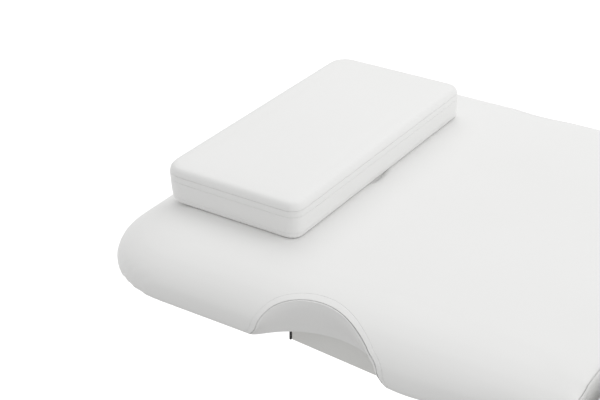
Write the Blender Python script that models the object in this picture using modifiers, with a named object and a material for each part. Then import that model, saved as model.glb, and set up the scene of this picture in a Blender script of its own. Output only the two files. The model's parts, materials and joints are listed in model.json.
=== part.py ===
"""Electric beauty bed: three padded sections on a steel frame with a swinging-arm lift.

Metres, +Z up. X runs along the bed with the head at -X, and the photographed side is -Y.
The bed is flat and at its lowest height. The origin is on the floor, under the middle of the bed.
"""
import bmesh
import bpy
from math import atan2, ceil, cos, degrees, hypot, pi, radians, sin, sqrt
from mathutils import Matrix, Vector

# Fits
TOUCH = 0.0003            # gap between faces that rest on each other
RUNNING = 0.0003          # gap round a pin, shaft or rod
PAST = 0.010              # how far a cutter runs past the face it cuts
WELD_STEP = 0.0005        # step between the faces of two plates that are welded together

# Padded sections
BED_TOP = 0.620
BED_WIDTH = 0.772
BACK_LENGTH = 0.738
SEAT_LENGTH = 0.504
LEG_LENGTH = 0.600
SECTION_GAP = 0.009
PAD_THICKNESS = 0.066
ROLL_ACROSS = 0.100       # the top rolls over the sides on this width
ROLL_DOWN = 0.045         # and by this much
TUCK_ACROSS = 0.020       # the cover tucks under the lower edge on this width
PLAN_CORNER = 0.128       # corner radius of the head end and the foot end, seen from above
SEAT_END_ROLL = 0.040
SEAMED_END_ROLL = 0.006
BOARD_THICKNESS = 0.012

# Arm notches and face hole of the back section
NOTCH_RADIUS = 0.124
NOTCH_DEPTH = 0.064
NOTCH_FROM_HEAD = 0.396
HOLE_WIDTH = 0.092
HOLE_LENGTH = 0.200
HOLE_CORNER = 0.032
HOLE_FROM_HEAD = 0.1775

# Loose pillow
PILLOW_LENGTH = 0.498
PILLOW_DEPTH = 0.238
PILLOW_HEIGHT = 0.0567
PILLOW_CORNER = 0.026     # corner radius, seen from above
PILLOW_EDGE = 0.008       # edge radius round its top
PILLOW_TUCK = 0.006       # and round its underside
PILLOW_EDGE_STEPS = 3
PILLOW_FROM_HEAD = 0.0348
PILLOW_OFFSET = 0.0072

# Section hinges: the axis lies high in the gap, so a rising section never pinches the seat
HINGE_BELOW_TOP = 0.020
HINGE_PIN_RADIUS = 0.006
HINGE_HEAD_RADIUS = 0.013
HINGE_HEAD_LENGTH = 0.0045
HINGE_PIN_INNER = 0.0025  # how far the pin shows inside the side plate
EYE_RADIUS = 0.020
SIDE_PLATE_GAP = 0.0013   # between the padding and the side plate
PLATE_THICKNESS = 0.005
SIDE_PLATE_DEPTH = 0.045
SIDE_PLATE_DROP = 0.100   # from the hinge axis down to its lower edge
BACK_SWING = radians(70)
LEG_SWING = radians(35)

# Arms under the back and leg sections
ARM_OUTER = 0.320
ARM_WIDTH = 0.030
ARM_WALL = 0.002
ARM_ROOT_SETBACK = 0.028  # from the hinge axis
ARM_ROOT_DEPTH = 0.061
ARM_TIP_DEPTH = 0.035
BACK_ARM_LENGTH = 0.4005
LEG_ARM_LENGTH = 0.460
CAP_FLANGE = 0.0025
CAP_PLUG = 0.012
EAR_LENGTH = 0.045
EAR_FLANGE = 0.012
SECTION_CROSS_SETBACK = 0.0975
SECTION_CROSS_LENGTH = 0.036
SECTION_CROSS_HEIGHT = 0.033

# Upper frame
RAIL_MIDDLE = 0.250       # of the upper and the base rails, from the bed's middle
RAIL_WIDTH = 0.030
TUBE_WALL = 0.0025
TUBE_EDGE = 0.003         # outside corner radius of the box tubes
UPPER_RAIL_HEIGHT = 0.060
UPPER_RAIL_PAST_SHAFT = 0.040
UPPER_RAIL_PAST_SEAT = 0.079
UPPER_CROSS_HEIGHT = 0.038
UPPER_CROSS_LENGTH = 0.040
UPPER_CROSS_SETBACK = 0.063   # of each cross tube's middle from the end of the seat
BEAM_SETBACK = 0.233      # of the actuator beam's middle from the head end of the seat
BEAM_LENGTH = 0.040
BEAM_HEIGHT = 0.040
DRAIN_RADIUS = 0.004

# Swinging-arm lift: two pairs of equal arms keep the upper frame level
LIFT_ARM = 0.740
LIFT_ARM_WIDTH = 0.060
LIFT_ARM_THICKNESS = 0.010
LIFT_ARM_GAP = 0.003
LIFT_SWING = radians(32)
SHAFT_RADIUS = 0.010
SHAFT_END = 0.006
UPPER_FRONT_SETBACK = 0.117   # of the front shaft, from the head end of the seat towards the head
LIFT_PAIR_SPACING = 0.400
TIE_PLACE = 0.360         # along the arm, from its lower pivot
TIE_RADIUS = 0.020
TIE_WALL = 0.003

# Base
BASE_HEAD = -0.430
BASE_PAST_SHAFT = 0.108   # of the rails past the rear lower shaft
BASE_RAIL_HEIGHT = 0.070
BASE_CROSS_LENGTH = 0.040
BASE_CROSS_SETBACK = 0.040
FOOT_HEIGHT = 0.035
FOOT_PAD_RADIUS = 0.027
FOOT_PAD_HEIGHT = 0.010
FOOT_NUT_RADIUS = 0.013
FOOT_NUT_HEIGHT = 0.008
FOOT_STUD_RADIUS = 0.008

# Linear actuators
LIFT_TAIL_STEP = 0.087    # of the tail pin from the middle of the base's head cross tube
LIFT_TAIL_RISE = 0.055    # of the tail pin above the lower face of the base rails
LIFT_PIN_PLACE = 0.280    # of the rod pin along the front arms, from their lower pivot
TAIL_DROP = 0.055         # of the back and leg tail pins below the rails' middle
BACK_TAIL_STEP = 0.025    # of the back tail pin from the beam's middle, towards the foot
BACK_PIN_STEP = 0.020     # of the rod pin from the hinge, towards the seat
LEG_PIN_STEP = 0.030
ROD_PIN_DROP = 0.115      # of both rod pins below the hinges
SIDE_STEP = 0.070         # of the back and leg actuators from the bed's middle
ACTUATOR_PIN_RADIUS = 0.006
ACTUATOR_PIN_LENGTH = 0.060
ACTUATOR_EYE_RADIUS = 0.016
ACTUATOR_EYE_WIDTH = 0.024
ROD_RADIUS = 0.010
OUTER_TUBE_RADIUS = 0.019
NECK_LENGTH = 0.045
NECK_HALF = 0.0115
GEARBOX_LENGTH = 0.070
GEARBOX_HALF = 0.024
MOTOR_RADIUS = 0.030
MOTOR_LENGTH = 0.120
MOTOR_DROP = 0.050
LIFT_TUBE_SHORT = 0.050   # from the end of the outer tube to the rod pin, at rest
SECTION_TUBE_SHORT = 0.032
ROD_OVERLAP = 0.025
LUG_GAP = 0.0010          # between an eye and the lug beside it
LUG_THICKNESS = 0.006
LUG_RADIUS = 0.017
LUG_RIM = 0.005           # metal left round a slot
SLOT_PLAY = 0.003         # side play of a rod pin in its slot

# Control box and mains inlet
CONTROL_LENGTH = 0.140
CONTROL_WIDTH = 0.140
CONTROL_HEIGHT = 0.062
CONTROL_EDGE = 0.005
INLET_WIDTH = 0.026
INLET_HEIGHT = 0.020
INLET_WALL = 0.002
INLET_DEPTH = 0.018
INLET_FLANGE = 0.004
INLET_LIP = 0.003

# Handset in its clip
HANDSET_SETBACK = 0.194   # of the handset's middle from the foot end of the seat
HANDSET_WIDTH = 0.055
HANDSET_HEIGHT = 0.125
HANDSET_THICKNESS = 0.022
HANDSET_EDGE = 0.005
HANDSET_TOP_GAP = 0.004   # below the side plate
CLIP_WALL = 0.003
CLIP_GAP = 0.0005
CLIP_LIP = 0.014
BUTTON_RADIUS = 0.0065
BUTTON_PROUD = 0.002
BUTTON_TRAVEL = 0.0015
BUTTON_SEAT = 0.003       # length of a button inside the shell
BUTTON_COLUMN_STEP = 0.024
BUTTON_ROW_STEP = 0.026
BUTTON_ROWS = 3

# Smoothness of round pieces
SIDES = 24
CORNER_STEPS = 8
ROLL_STEPS = 6
TUCK_STEPS = 2

# Places worked out from the sizes above
HEAD_END = -(BACK_LENGTH + SEAT_LENGTH + LEG_LENGTH + 2 * SECTION_GAP) / 2
BACK_FOOT = HEAD_END + BACK_LENGTH
SEAT_HEAD = BACK_FOOT + SECTION_GAP
SEAT_FOOT = SEAT_HEAD + SEAT_LENGTH
LEG_HEAD = SEAT_FOOT + SECTION_GAP
FOOT_END = LEG_HEAD + LEG_LENGTH
PAD_BOTTOM = BED_TOP - PAD_THICKNESS
FRAME_TOP = PAD_BOTTOM - TOUCH
HALF_WIDTH = BED_WIDTH / 2
HINGE_Z = BED_TOP - HINGE_BELOW_TOP
BACK_HINGE_X = (BACK_FOOT + SEAT_HEAD) / 2
LEG_HINGE_X = (SEAT_FOOT + LEG_HEAD) / 2
PLATE_INNER = HALF_WIDTH + SIDE_PLATE_GAP
PLATE_OUTER = PLATE_INNER + PLATE_THICKNESS
EAR_INNER = PLATE_OUTER + TOUCH
EAR_OUTER = EAR_INNER + PLATE_THICKNESS
ARM_INNER = ARM_OUTER - ARM_WIDTH
RAIL_INNER = RAIL_MIDDLE - RAIL_WIDTH / 2
RAIL_OUTER = RAIL_MIDDLE + RAIL_WIDTH / 2
UPPER_RAIL_TOP = FRAME_TOP - UPPER_CROSS_HEIGHT - TOUCH
UPPER_PIVOT_Z = UPPER_RAIL_TOP - UPPER_RAIL_HEIGHT / 2
LOWER_PIVOT_Z = FOOT_HEIGHT + BASE_RAIL_HEIGHT / 2
UPPER_FRONT_X = SEAT_HEAD - UPPER_FRONT_SETBACK
UPPER_RAIL_HEAD = UPPER_FRONT_X - UPPER_RAIL_PAST_SHAFT
UPPER_RAIL_FOOT = SEAT_FOOT + UPPER_RAIL_PAST_SEAT
BEAM_PLACE = SEAT_HEAD + BEAM_SETBACK
HANDSET_X = SEAT_FOOT - HANDSET_SETBACK
LIFT_RISE = UPPER_PIVOT_Z - LOWER_PIVOT_Z
LIFT_REACH = sqrt(LIFT_ARM ** 2 - LIFT_RISE ** 2)
UPPER_REAR_X = UPPER_FRONT_X + LIFT_PAIR_SPACING
LOWER_FRONT_X = UPPER_FRONT_X + LIFT_REACH
LOWER_REAR_X = UPPER_REAR_X + LIFT_REACH
BASE_FOOT = LOWER_REAR_X + BASE_PAST_SHAFT
LIFT_ARM_OUTER = RAIL_INNER - LIFT_ARM_GAP
LIFT_ARM_INNER = LIFT_ARM_OUTER - LIFT_ARM_THICKNESS
LIFT_TAIL = (BASE_HEAD + BASE_CROSS_SETBACK + LIFT_TAIL_STEP, FOOT_HEIGHT + LIFT_TAIL_RISE)
LIFT_EYE = (LOWER_FRONT_X - LIFT_PIN_PLACE * LIFT_REACH / LIFT_ARM,
            LOWER_PIVOT_Z + LIFT_PIN_PLACE * LIFT_RISE / LIFT_ARM)
BACK_TAIL = (BEAM_PLACE + BACK_TAIL_STEP, UPPER_PIVOT_Z - TAIL_DROP)
LEG_TAIL = (BEAM_PLACE, UPPER_PIVOT_Z - TAIL_DROP)
BACK_EYE = (BACK_HINGE_X + BACK_PIN_STEP, HINGE_Z - ROD_PIN_DROP)
LEG_EYE = (LEG_HINGE_X - LEG_PIN_STEP, HINGE_Z - ROD_PIN_DROP)
SIDES_OF_BED = (("left", 1), ("right", -1))

for old in list(bpy.data.objects):
    bpy.data.objects.remove(old, do_unlink=True)

PARTS = bpy.data.collections.new("electric_beauty_bed")
CUTTERS = bpy.data.collections.new("cutters")
for collection in (PARTS, CUTTERS):
    bpy.context.scene.collection.children.link(collection)


def material(name, colour, roughness, metallic=0.0):
    """A plain finish with one colour."""
    finish = bpy.data.materials.new(name)
    finish.use_nodes = True
    shader = finish.node_tree.nodes["Principled BSDF"]
    shader.inputs["Base Color"].default_value = (*colour, 1.0)
    shader.inputs["Roughness"].default_value = roughness
    shader.inputs["Metallic"].default_value = metallic
    return finish


UPHOLSTERY = material("white_upholstery", (0.86, 0.86, 0.85), 0.42)
WHITE_STEEL = material("white_powder_coat", (0.78, 0.78, 0.76), 0.45)
BRIGHT_STEEL = material("bright_steel", (0.62, 0.62, 0.63), 0.28, 1.0)
PLYWOOD = material("plywood", (0.60, 0.44, 0.27), 0.70)
BLACK_PLASTIC = material("black_plastic", (0.025, 0.025, 0.027), 0.50)
GREY_PLASTIC = material("grey_plastic", (0.30, 0.31, 0.33), 0.45)
CAST_ALUMINIUM = material("cast_aluminium", (0.42, 0.43, 0.44), 0.50, 1.0)
RUBBER = material("rubber", (0.03, 0.03, 0.03), 0.80)


def place(name, shape, location, cutter):
    """A new object from a bmesh, in the collection for parts or for cutters."""
    mesh = bpy.data.meshes.new(name)
    shape.to_mesh(mesh)
    shape.free()
    mesh.shade_smooth()
    mesh.set_sharp_from_angle(angle=radians(35))
    piece = bpy.data.objects.new(name, mesh)
    piece.location = location
    if cutter:
        CUTTERS.objects.link(piece)
        piece.hide_render = True
        piece.display_type = "WIRE"
    else:
        PARTS.objects.link(piece)
    return piece


def box(name, low, high, cutter=False):
    """A block between two corners, with its origin at its middle."""
    low, high = Vector(low), Vector(high)
    shape = bmesh.new()
    bmesh.ops.create_cube(shape, size=1.0)
    bmesh.ops.scale(shape, vec=high - low, verts=shape.verts)
    return place(name, shape, (low + high) / 2, cutter)


def bar(name, start, end, radius, cutter=False):
    """A round bar from one point to another."""
    start, end = Vector(start), Vector(end)
    shape = bmesh.new()
    bmesh.ops.create_cone(shape, cap_ends=True, segments=SIDES, radius1=radius, radius2=radius,
                          depth=(end - start).length)
    turn = Vector((0, 0, 1)).rotation_difference(end - start).to_matrix()
    bmesh.ops.rotate(shape, cent=(0, 0, 0), matrix=turn, verts=shape.verts)
    return place(name, shape, (start + end) / 2, cutter)


def arc(centre, radius, start, end, steps):
    """Points on a circle, between two angles in degrees."""
    angles = [radians(start + (end - start) * step / steps) for step in range(steps + 1)]
    return [(centre[0] + radius * cos(a), centre[1] + radius * sin(a)) for a in angles]


def stadium(start, end, radius, end_radius=None):
    """The outline of a flat bar with round ends, between two points."""
    heading = degrees(atan2(end[1] - start[1], end[0] - start[0]))
    return (arc(end, end_radius or radius, heading - 90, heading + 90, SIDES // 2)
            + arc(start, radius, heading + 90, heading + 270, SIDES // 2))


def prism(name, outline, span, along="Y", cutter=False):
    """A flat outline given thickness: in X and Z along Y, or in X and Y along Z."""
    curve = bpy.data.curves.new(name, "CURVE")
    curve.dimensions = "2D"
    curve.fill_mode = "BOTH"
    curve.extrude = (span[1] - span[0]) / 2
    spline = curve.splines.new("POLY")
    spline.points.add(len(outline) - 1)
    for point, spot in zip(spline.points, outline):
        point.co = (*spot, 0.0, 1.0)
    spline.use_cyclic_u = True
    drawing = bpy.data.objects.new(name, curve)
    bpy.context.scene.collection.objects.link(drawing)
    evaluated = drawing.evaluated_get(bpy.context.evaluated_depsgraph_get())
    mesh = bpy.data.meshes.new_from_object(evaluated)
    bpy.data.objects.remove(drawing)
    bpy.data.curves.remove(curve)
    shape = bmesh.new()
    shape.from_mesh(mesh)
    bpy.data.meshes.remove(mesh)
    bmesh.ops.remove_doubles(shape, verts=shape.verts, dist=0.00001)
    bmesh.ops.recalc_face_normals(shape, faces=shape.faces)
    bmesh.ops.dissolve_limit(shape, angle_limit=radians(1), verts=shape.verts, edges=shape.edges)
    middle = (span[0] + span[1]) / 2
    if along == "Y":
        bmesh.ops.rotate(shape, cent=(0, 0, 0), matrix=Matrix.Rotation(pi / 2, 3, "X"), verts=shape.verts)
        return place(name, shape, (0, middle, 0), cutter)
    return place(name, shape, (0, 0, middle), cutter)


def turned(name, profile, location, axis=(0, 0, 1)):
    """A turned piece from (radius, height) points that run down its outer side."""
    shape = bmesh.new()
    spots = [shape.verts.new((radius, 0.0, height)) for radius, height in profile]
    for upper, lower in zip(spots, spots[1:]):
        shape.edges.new((upper, lower))
    piece = place(name, shape, location, False)
    piece.rotation_euler = Vector((0, 0, 1)).rotation_difference(Vector(axis)).to_euler()
    spin = piece.modifiers.new("turn", "SCREW")
    spin.steps = SIDES
    spin.render_steps = SIDES
    spin.use_merge_vertices = True
    spin.merge_threshold = 0.00001
    return piece


def combine(piece, other, how):
    """A Boolean step on a piece: DIFFERENCE, UNION or INTERSECT."""
    step = piece.modifiers.new(how.lower(), "BOOLEAN")
    step.operation = how
    step.solver = "EXACT"
    step.object = other


def cut(piece, *tools):
    for tool in tools:
        combine(piece, tool, "DIFFERENCE")


def join(piece, *others):
    for other in others:
        combine(piece, other, "UNION")


def soften(piece, width, steps=2):
    """Rounded edges on a block."""
    bevel = piece.modifiers.new("edges", "BEVEL")
    bevel.width = width
    bevel.segments = steps
    bevel.limit_method = "ANGLE"
    bevel.angle_limit = radians(50)


def finish(piece, coat, pivot=None):
    """Gives a piece its material, and hangs it on the empty that stands on its joint's axis."""
    piece.data.materials.append(coat)
    if pivot:
        piece.parent = pivot
        piece.matrix_parent_inverse = Matrix.Translation(-pivot.location)
    return piece


def pivot_at(name, spot):
    empty = bpy.data.objects.new(name, None)
    empty.location = spot
    empty.empty_display_size = 0.05
    PARTS.objects.link(empty)
    return empty


def across(y_low, y_high, side):
    """A stretch of Y on one side of the bed, low end first."""
    return (y_low, y_high) if side > 0 else (-y_high, -y_low)


def swing(spot, hinge, angle):
    """A point in X and Z, turned about a hinge that lies along +Y."""
    x, z = spot[0] - hinge[0], spot[1] - hinge[1]
    return (hinge[0] + x * cos(angle) + z * sin(angle), hinge[1] - x * sin(angle) + z * cos(angle))


def rod_travel(hinge, tail, eye, angle):
    """How far an actuator turns and extends while its lever swings through an angle.

    Both follow the lever at a constant ratio, which is exact at the two ends of the swing.
    """
    end = swing(eye, hinge, angle)
    rest = (eye[0] - tail[0], eye[1] - tail[1])
    last = (end[0] - tail[0], end[1] - tail[1])
    turn = atan2(-last[1], last[0]) - atan2(-rest[1], rest[0])
    turn = (turn + pi) % (2 * pi) - pi
    return turn, hypot(*last) - hypot(*rest)


def rod_slot(name, hinge, tail, eye, angle, span):
    """The slot that a rod pin needs in its lug, because it drifts from the lever's arc in mid swing.

    Also gives the middle of the slot, and the radius of a lug round it.
    """
    turn, stroke = rod_travel(hinge, tail, eye, angle)
    reach = hypot(eye[0] - tail[0], eye[1] - tail[1])
    stretch = (reach + stroke / 2) / reach
    middle = (tail[0] + (eye[0] - tail[0]) * stretch, tail[1] + (eye[1] - tail[1]) * stretch)
    middle = swing(swing(middle, tail, turn / 2), hinge, -angle / 2)
    slot = prism(name, stadium(eye, middle, ACTUATOR_PIN_RADIUS + SLOT_PLAY), span, cutter=True)
    half_run = hypot(middle[0] - eye[0], middle[1] - eye[1]) / 2
    centre = ((eye[0] + middle[0]) / 2, (eye[1] + middle[1]) / 2)
    return slot, centre, half_run + ACTUATOR_PIN_RADIUS + SLOT_PLAY + LUG_RIM


def rolled_slab(name, x_low, x_high, round_low, round_high):
    """A padded slab: the top rolls over the long sides and round ends, and the cover tucks under them."""
    squeeze = ROLL_DOWN / ROLL_ACROSS
    half_length = (x_high - x_low) / 2
    half_height = PAD_THICKNESS / squeeze / 2
    near = 0.00001
    shape = bmesh.new()
    bmesh.ops.create_cube(shape, size=2.0)
    bmesh.ops.scale(shape, vec=(half_length, HALF_WIDTH, half_height), verts=shape.verts)

    def lies_at(edge, axis, value):
        return all(abs(vert.co[axis] - value) < near for vert in edge.verts)

    for end, is_round in ((-half_length, round_low), (half_length, round_high)):
        if is_round:
            corners = [e for e in shape.edges if lies_at(e, 0, end) and not
                       (lies_at(e, 2, half_height) or lies_at(e, 2, -half_height))]
            bmesh.ops.bevel(shape, geom=corners, offset=PLAN_CORNER, offset_type="OFFSET",
                            segments=CORNER_STEPS, profile=0.5, affect="EDGES")
    square_ends = [end for end, is_round in ((-half_length, round_low), (half_length, round_high))
                   if not is_round]
    for level, width, steps in ((half_height, ROLL_ACROSS, ROLL_STEPS),
                                (-half_height, TUCK_ACROSS, TUCK_STEPS)):
        rim = [e for e in shape.edges if lies_at(e, 2, level)
               and not any(lies_at(e, 0, end) for end in square_ends)]
        bmesh.ops.bevel(shape, geom=rim, offset=width, offset_type="OFFSET",
                        segments=steps, profile=0.5, affect="EDGES")
    bmesh.ops.scale(shape, vec=(1, 1, squeeze), verts=shape.verts)
    return place(name, shape, ((x_low + x_high) / 2, 0, BED_TOP - PAD_THICKNESS / 2), False)


def side_view(name, x_low, x_high, z_low, z_high, roll_low=0.0, roll_high=0.0):
    """A cutter in the shape of a section's side view: square ends, whose top edges may be rolled over."""
    outline = [(x_low, z_low), (x_high, z_low)]
    for x, roll, heading in ((x_high, roll_high, 1), (x_low, roll_low, -1)):
        if roll:
            middle = (x - heading * roll, z_high - roll)
            angles = (0, 90) if heading > 0 else (90, 180)
            outline += arc(middle, roll, *angles, ROLL_STEPS)
        else:
            outline.append((x, z_high))
    return prism(name, outline, (-BED_WIDTH, BED_WIDTH), cutter=True)


def back_openings(name):
    """Cutters for the two arm notches and the face hole."""
    z_span = (PAD_BOTTOM - PAST, BED_TOP + PAST)
    notch_x = HEAD_END + NOTCH_FROM_HEAD
    notch_y = HALF_WIDTH + NOTCH_RADIUS - NOTCH_DEPTH
    tools = []
    for label, side in SIDES_OF_BED:
        outline = arc((notch_x, side * notch_y), NOTCH_RADIUS, 0, 360, 2 * SIDES)[:-1]
        tools.append(prism(f"{name}_notch_{label}", outline, z_span, "Z", True))
    hole_x = HEAD_END + HOLE_FROM_HEAD
    run, rise = HOLE_LENGTH / 2 - HOLE_CORNER, HOLE_WIDTH / 2 - HOLE_CORNER
    outline = []
    for x, y, start in ((run, rise, 0), (-run, rise, 90), (-run, -rise, 180), (run, -rise, 270)):
        outline += arc((hole_x + x, y), HOLE_CORNER, start, start + 90, CORNER_STEPS)
    tools.append(prism(f"{name}_hole", outline, z_span, "Z", True))
    return tools


def padded_section(label, x_low, x_high, round_low, round_high, roll_low, roll_high, pivot, openings=False):
    """One section of the bed: a padded slab on a plywood board, both with the outline of the cover."""
    spare = SECTION_GAP
    slab = (x_low if round_low else x_low - spare, x_high if round_high else x_high + spare)
    ends = (x_low - spare if round_low else x_low, x_high + spare if round_high else x_high)
    level = PAD_BOTTOM + BOARD_THICKNESS
    cushion = rolled_slab(f"{label}_cushion", *slab, round_low, round_high)
    combine(cushion, side_view(f"{label}_padding", *ends, level + TOUCH, BED_TOP + RUNNING, roll_low, roll_high),
            "INTERSECT")
    panel = rolled_slab(f"{label}_board", *slab, round_low, round_high)
    combine(panel, side_view(f"{label}_panel", *ends, PAD_BOTTOM - PAST, level), "INTERSECT")
    if openings:
        cut(cushion, *back_openings(f"{label}_padding"))
        cut(panel, *back_openings(f"{label}_panel"))
    finish(cushion, UPHOLSTERY, pivot)
    finish(panel, PLYWOOD, pivot)


def hollow_tube(name, low, high, wall, open_along=None, lugs=()):
    """A steel box tube: open at its ends along one axis, or closed with a drain hole underneath."""
    tube = box(name, low, high)
    soften(tube, TUBE_EDGE)
    join(tube, *lugs)
    inner_low = Vector(low) + Vector((wall, wall, wall))
    inner_high = Vector(high) - Vector((wall, wall, wall))
    if open_along is not None:
        inner_low[open_along] = low[open_along] - PAST
        inner_high[open_along] = high[open_along] + PAST
    cut(tube, box(f"{name}_inside", inner_low, inner_high, True))
    if open_along is None:
        middle = (inner_low + inner_high) / 2
        drain = bar(f"{name}_drain", (middle.x, middle.y, low[2] - PAST), middle, DRAIN_RADIUS, True)
        cut(tube, drain)
    return tube


def lug_pair(name, outline, middle_y):
    """Two plates that carry an actuator's pin, one on each side of its eye."""
    inner = ACTUATOR_EYE_WIDTH / 2 + LUG_GAP
    outer = inner + LUG_THICKNESS
    return [prism(f"{name}_lug_{label}", outline,
                  tuple(middle_y + y for y in across(inner, outer, side)), cutter=True)
            for label, side in SIDES_OF_BED]


def pin_hole(name, spot, middle_y, radius):
    reach = ACTUATOR_PIN_LENGTH
    return bar(name, (spot[0], middle_y - reach, spot[1]), (spot[0], middle_y + reach, spot[1]),
               radius, True)


def actuator(label, tail, eye, middle_y, stroke, tube_short, motor_side):
    """A linear actuator from its tail pin to its rod pin: the drive with its tube, and the rod."""
    length = hypot(eye[0] - tail[0], eye[1] - tail[1])
    slope = atan2(-(eye[1] - tail[1]), eye[0] - tail[0])
    tube_end = length - tube_short
    rod_start = tube_end - stroke - ROD_OVERLAP
    half_eye = ACTUATOR_EYE_WIDTH / 2
    half_pin = ACTUATOR_PIN_LENGTH / 2
    motor_z = motor_side * MOTOR_DROP
    gearbox_end = NECK_LENGTH + GEARBOX_LENGTH
    motor_start = NECK_LENGTH + PAST / 2
    drive = bar(f"{label}_actuator_drive", (0, -half_eye, 0), (0, half_eye, 0), ACTUATOR_EYE_RADIUS)
    drive_pieces = [
        bar(f"{label}_tail_pin", (0, -half_pin, 0), (0, half_pin, 0), ACTUATOR_PIN_RADIUS, True),
        box(f"{label}_neck", (0, -NECK_HALF, -NECK_HALF), (gearbox_end - PAST, NECK_HALF, NECK_HALF), True),
        box(f"{label}_gearbox", (NECK_LENGTH, -GEARBOX_HALF, -GEARBOX_HALF),
            (gearbox_end, GEARBOX_HALF, GEARBOX_HALF), True),
        bar(f"{label}_outer_tube", (gearbox_end - PAST, 0, 0), (tube_end, 0, 0), OUTER_TUBE_RADIUS, True),
        bar(f"{label}_motor", (motor_start, 0, motor_z), (motor_start + MOTOR_LENGTH, 0, motor_z),
            MOTOR_RADIUS, True),
    ]
    bore = bar(f"{label}_bore", (rod_start - ROD_OVERLAP / 3, 0, 0), (tube_end + PAST, 0, 0),
               ROD_RADIUS + RUNNING, True)
    rod = bar(f"{label}_actuator_rod", (rod_start, 0, 0), (length, 0, 0), ROD_RADIUS)
    rod_pieces = [
        bar(f"{label}_rod_eye", (length, -half_eye, 0), (length, half_eye, 0), ACTUATOR_EYE_RADIUS, True),
        bar(f"{label}_rod_pin", (length, -half_pin, 0), (length, half_pin, 0), ACTUATOR_PIN_RADIUS, True),
    ]
    axle = pivot_at(f"{label}_actuator_tail", (tail[0], middle_y, tail[1]))
    axle.rotation_euler = (0, slope, 0)
    join(drive, *drive_pieces)
    cut(drive, bore)
    join(rod, *rod_pieces)
    for piece in (drive, bore, rod, *drive_pieces, *rod_pieces):
        piece.parent = axle
    drive.data.materials.append(CAST_ALUMINIUM)
    rod.data.materials.append(BRIGHT_STEEL)


def build_base():
    """The floor frame: rails, cross tubes, levelling feet, lower shafts and the control box."""
    rail_low, rail_high = FOOT_HEIGHT, FOOT_HEIGHT + BASE_RAIL_HEIGHT
    for label, side in SIDES_OF_BED:
        y_low, y_high = across(RAIL_INNER, RAIL_OUTER, side)
        rail = hollow_tube(f"base_rail_{label}", (BASE_HEAD, y_low, rail_low),
                           (BASE_FOOT, y_high, rail_high), TUBE_WALL)
        for pair, x in (("front", LOWER_FRONT_X), ("rear", LOWER_REAR_X)):
            cut(rail, bar(f"base_bore_{pair}_{label}", (x, y_low - PAST, LOWER_PIVOT_Z),
                          (x, y_high + PAST, LOWER_PIVOT_Z), SHAFT_RADIUS + RUNNING, True))
        finish(rail, WHITE_STEEL)
    cross_half = RAIL_INNER - TOUCH
    for end, x in (("head", BASE_HEAD + BASE_CROSS_SETBACK), ("foot", BASE_FOOT - BASE_CROSS_SETBACK)):
        lugs = []
        if end == "head":
            lugs = lug_pair("lift_tail", stadium((x, LIFT_TAIL[1] - WELD_STEP), LIFT_TAIL, LUG_RADIUS), 0.0)
        cross = hollow_tube(f"base_cross_{end}", (x - BASE_CROSS_LENGTH / 2, -cross_half, rail_low),
                            (x + BASE_CROSS_LENGTH / 2, cross_half, rail_high), TUBE_WALL, 1, lugs)
        if end == "head":
            cut(cross, pin_hole("lift_tail_hole", LIFT_TAIL, 0.0, ACTUATOR_PIN_RADIUS + RUNNING))
        finish(cross, WHITE_STEEL)
        for label, side in SIDES_OF_BED:
            stud_top = FOOT_HEIGHT - TOUCH
            nut_low = stud_top - FOOT_NUT_HEIGHT
            profile = [(0, stud_top), (FOOT_NUT_RADIUS, stud_top), (FOOT_NUT_RADIUS, nut_low),
                       (FOOT_STUD_RADIUS, nut_low), (FOOT_STUD_RADIUS, FOOT_PAD_HEIGHT),
                       (FOOT_PAD_RADIUS * 0.8, FOOT_PAD_HEIGHT), (FOOT_PAD_RADIUS, FOOT_PAD_HEIGHT / 2),
                       (FOOT_PAD_RADIUS, 0), (0, 0)]
            finish(turned(f"levelling_foot_{end}_{label}", profile, (x, side * RAIL_MIDDLE, 0)), RUBBER)
    shaft_half = RAIL_OUTER + SHAFT_END
    for pair, x in (("front", LOWER_FRONT_X), ("rear", LOWER_REAR_X)):
        finish(bar(f"lower_shaft_{pair}", (x, -shaft_half, LOWER_PIVOT_Z), (x, shaft_half, LOWER_PIVOT_Z),
                   SHAFT_RADIUS), BRIGHT_STEEL)
    build_control_box()


def build_control_box():
    """The control box, seated in the corner of the base frame, with the mains inlet in its end."""
    x_low = BASE_HEAD + BASE_CROSS_SETBACK + BASE_CROSS_LENGTH / 2 + TOUCH
    x_high = x_low + CONTROL_LENGTH
    y_high = RAIL_INNER - TOUCH
    y_low = y_high - CONTROL_WIDTH
    z_high = FOOT_HEIGHT + CONTROL_HEIGHT
    case = box("control_box", (x_low, y_low, FOOT_HEIGHT), (x_high, y_high, z_high))
    soften(case, CONTROL_EDGE)
    y, z = (y_low + y_high) / 2, (FOOT_HEIGHT + z_high) / 2
    half_w, half_h = INLET_WIDTH / 2, INLET_HEIGHT / 2
    cut(case, box("inlet_window", (x_high - INLET_DEPTH - TOUCH, y - half_w - TOUCH, z - half_h - TOUCH),
                  (x_high + PAST, y + half_w + TOUCH, z + half_h + TOUCH), True))
    finish(case, BLACK_PLASTIC)
    face = x_high + TOUCH
    inlet = box("mains_inlet", (x_high - INLET_DEPTH, y - half_w, z - half_h),
                (face + INLET_FLANGE, y + half_w, z + half_h))
    join(inlet, box("inlet_flange", (face, y - half_w - INLET_LIP, z - half_h - INLET_LIP),
                    (face + INLET_FLANGE, y + half_w + INLET_LIP, z + half_h + INLET_LIP), True))
    cut(inlet, box("inlet_recess", (x_high - INLET_DEPTH + INLET_WALL, y - half_w + INLET_WALL,
                                    z - half_h + INLET_WALL),
                   (face + INLET_FLANGE + PAST, y + half_w - INLET_WALL, z + half_h - INLET_WALL), True))
    finish(inlet, GREY_PLASTIC)


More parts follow.
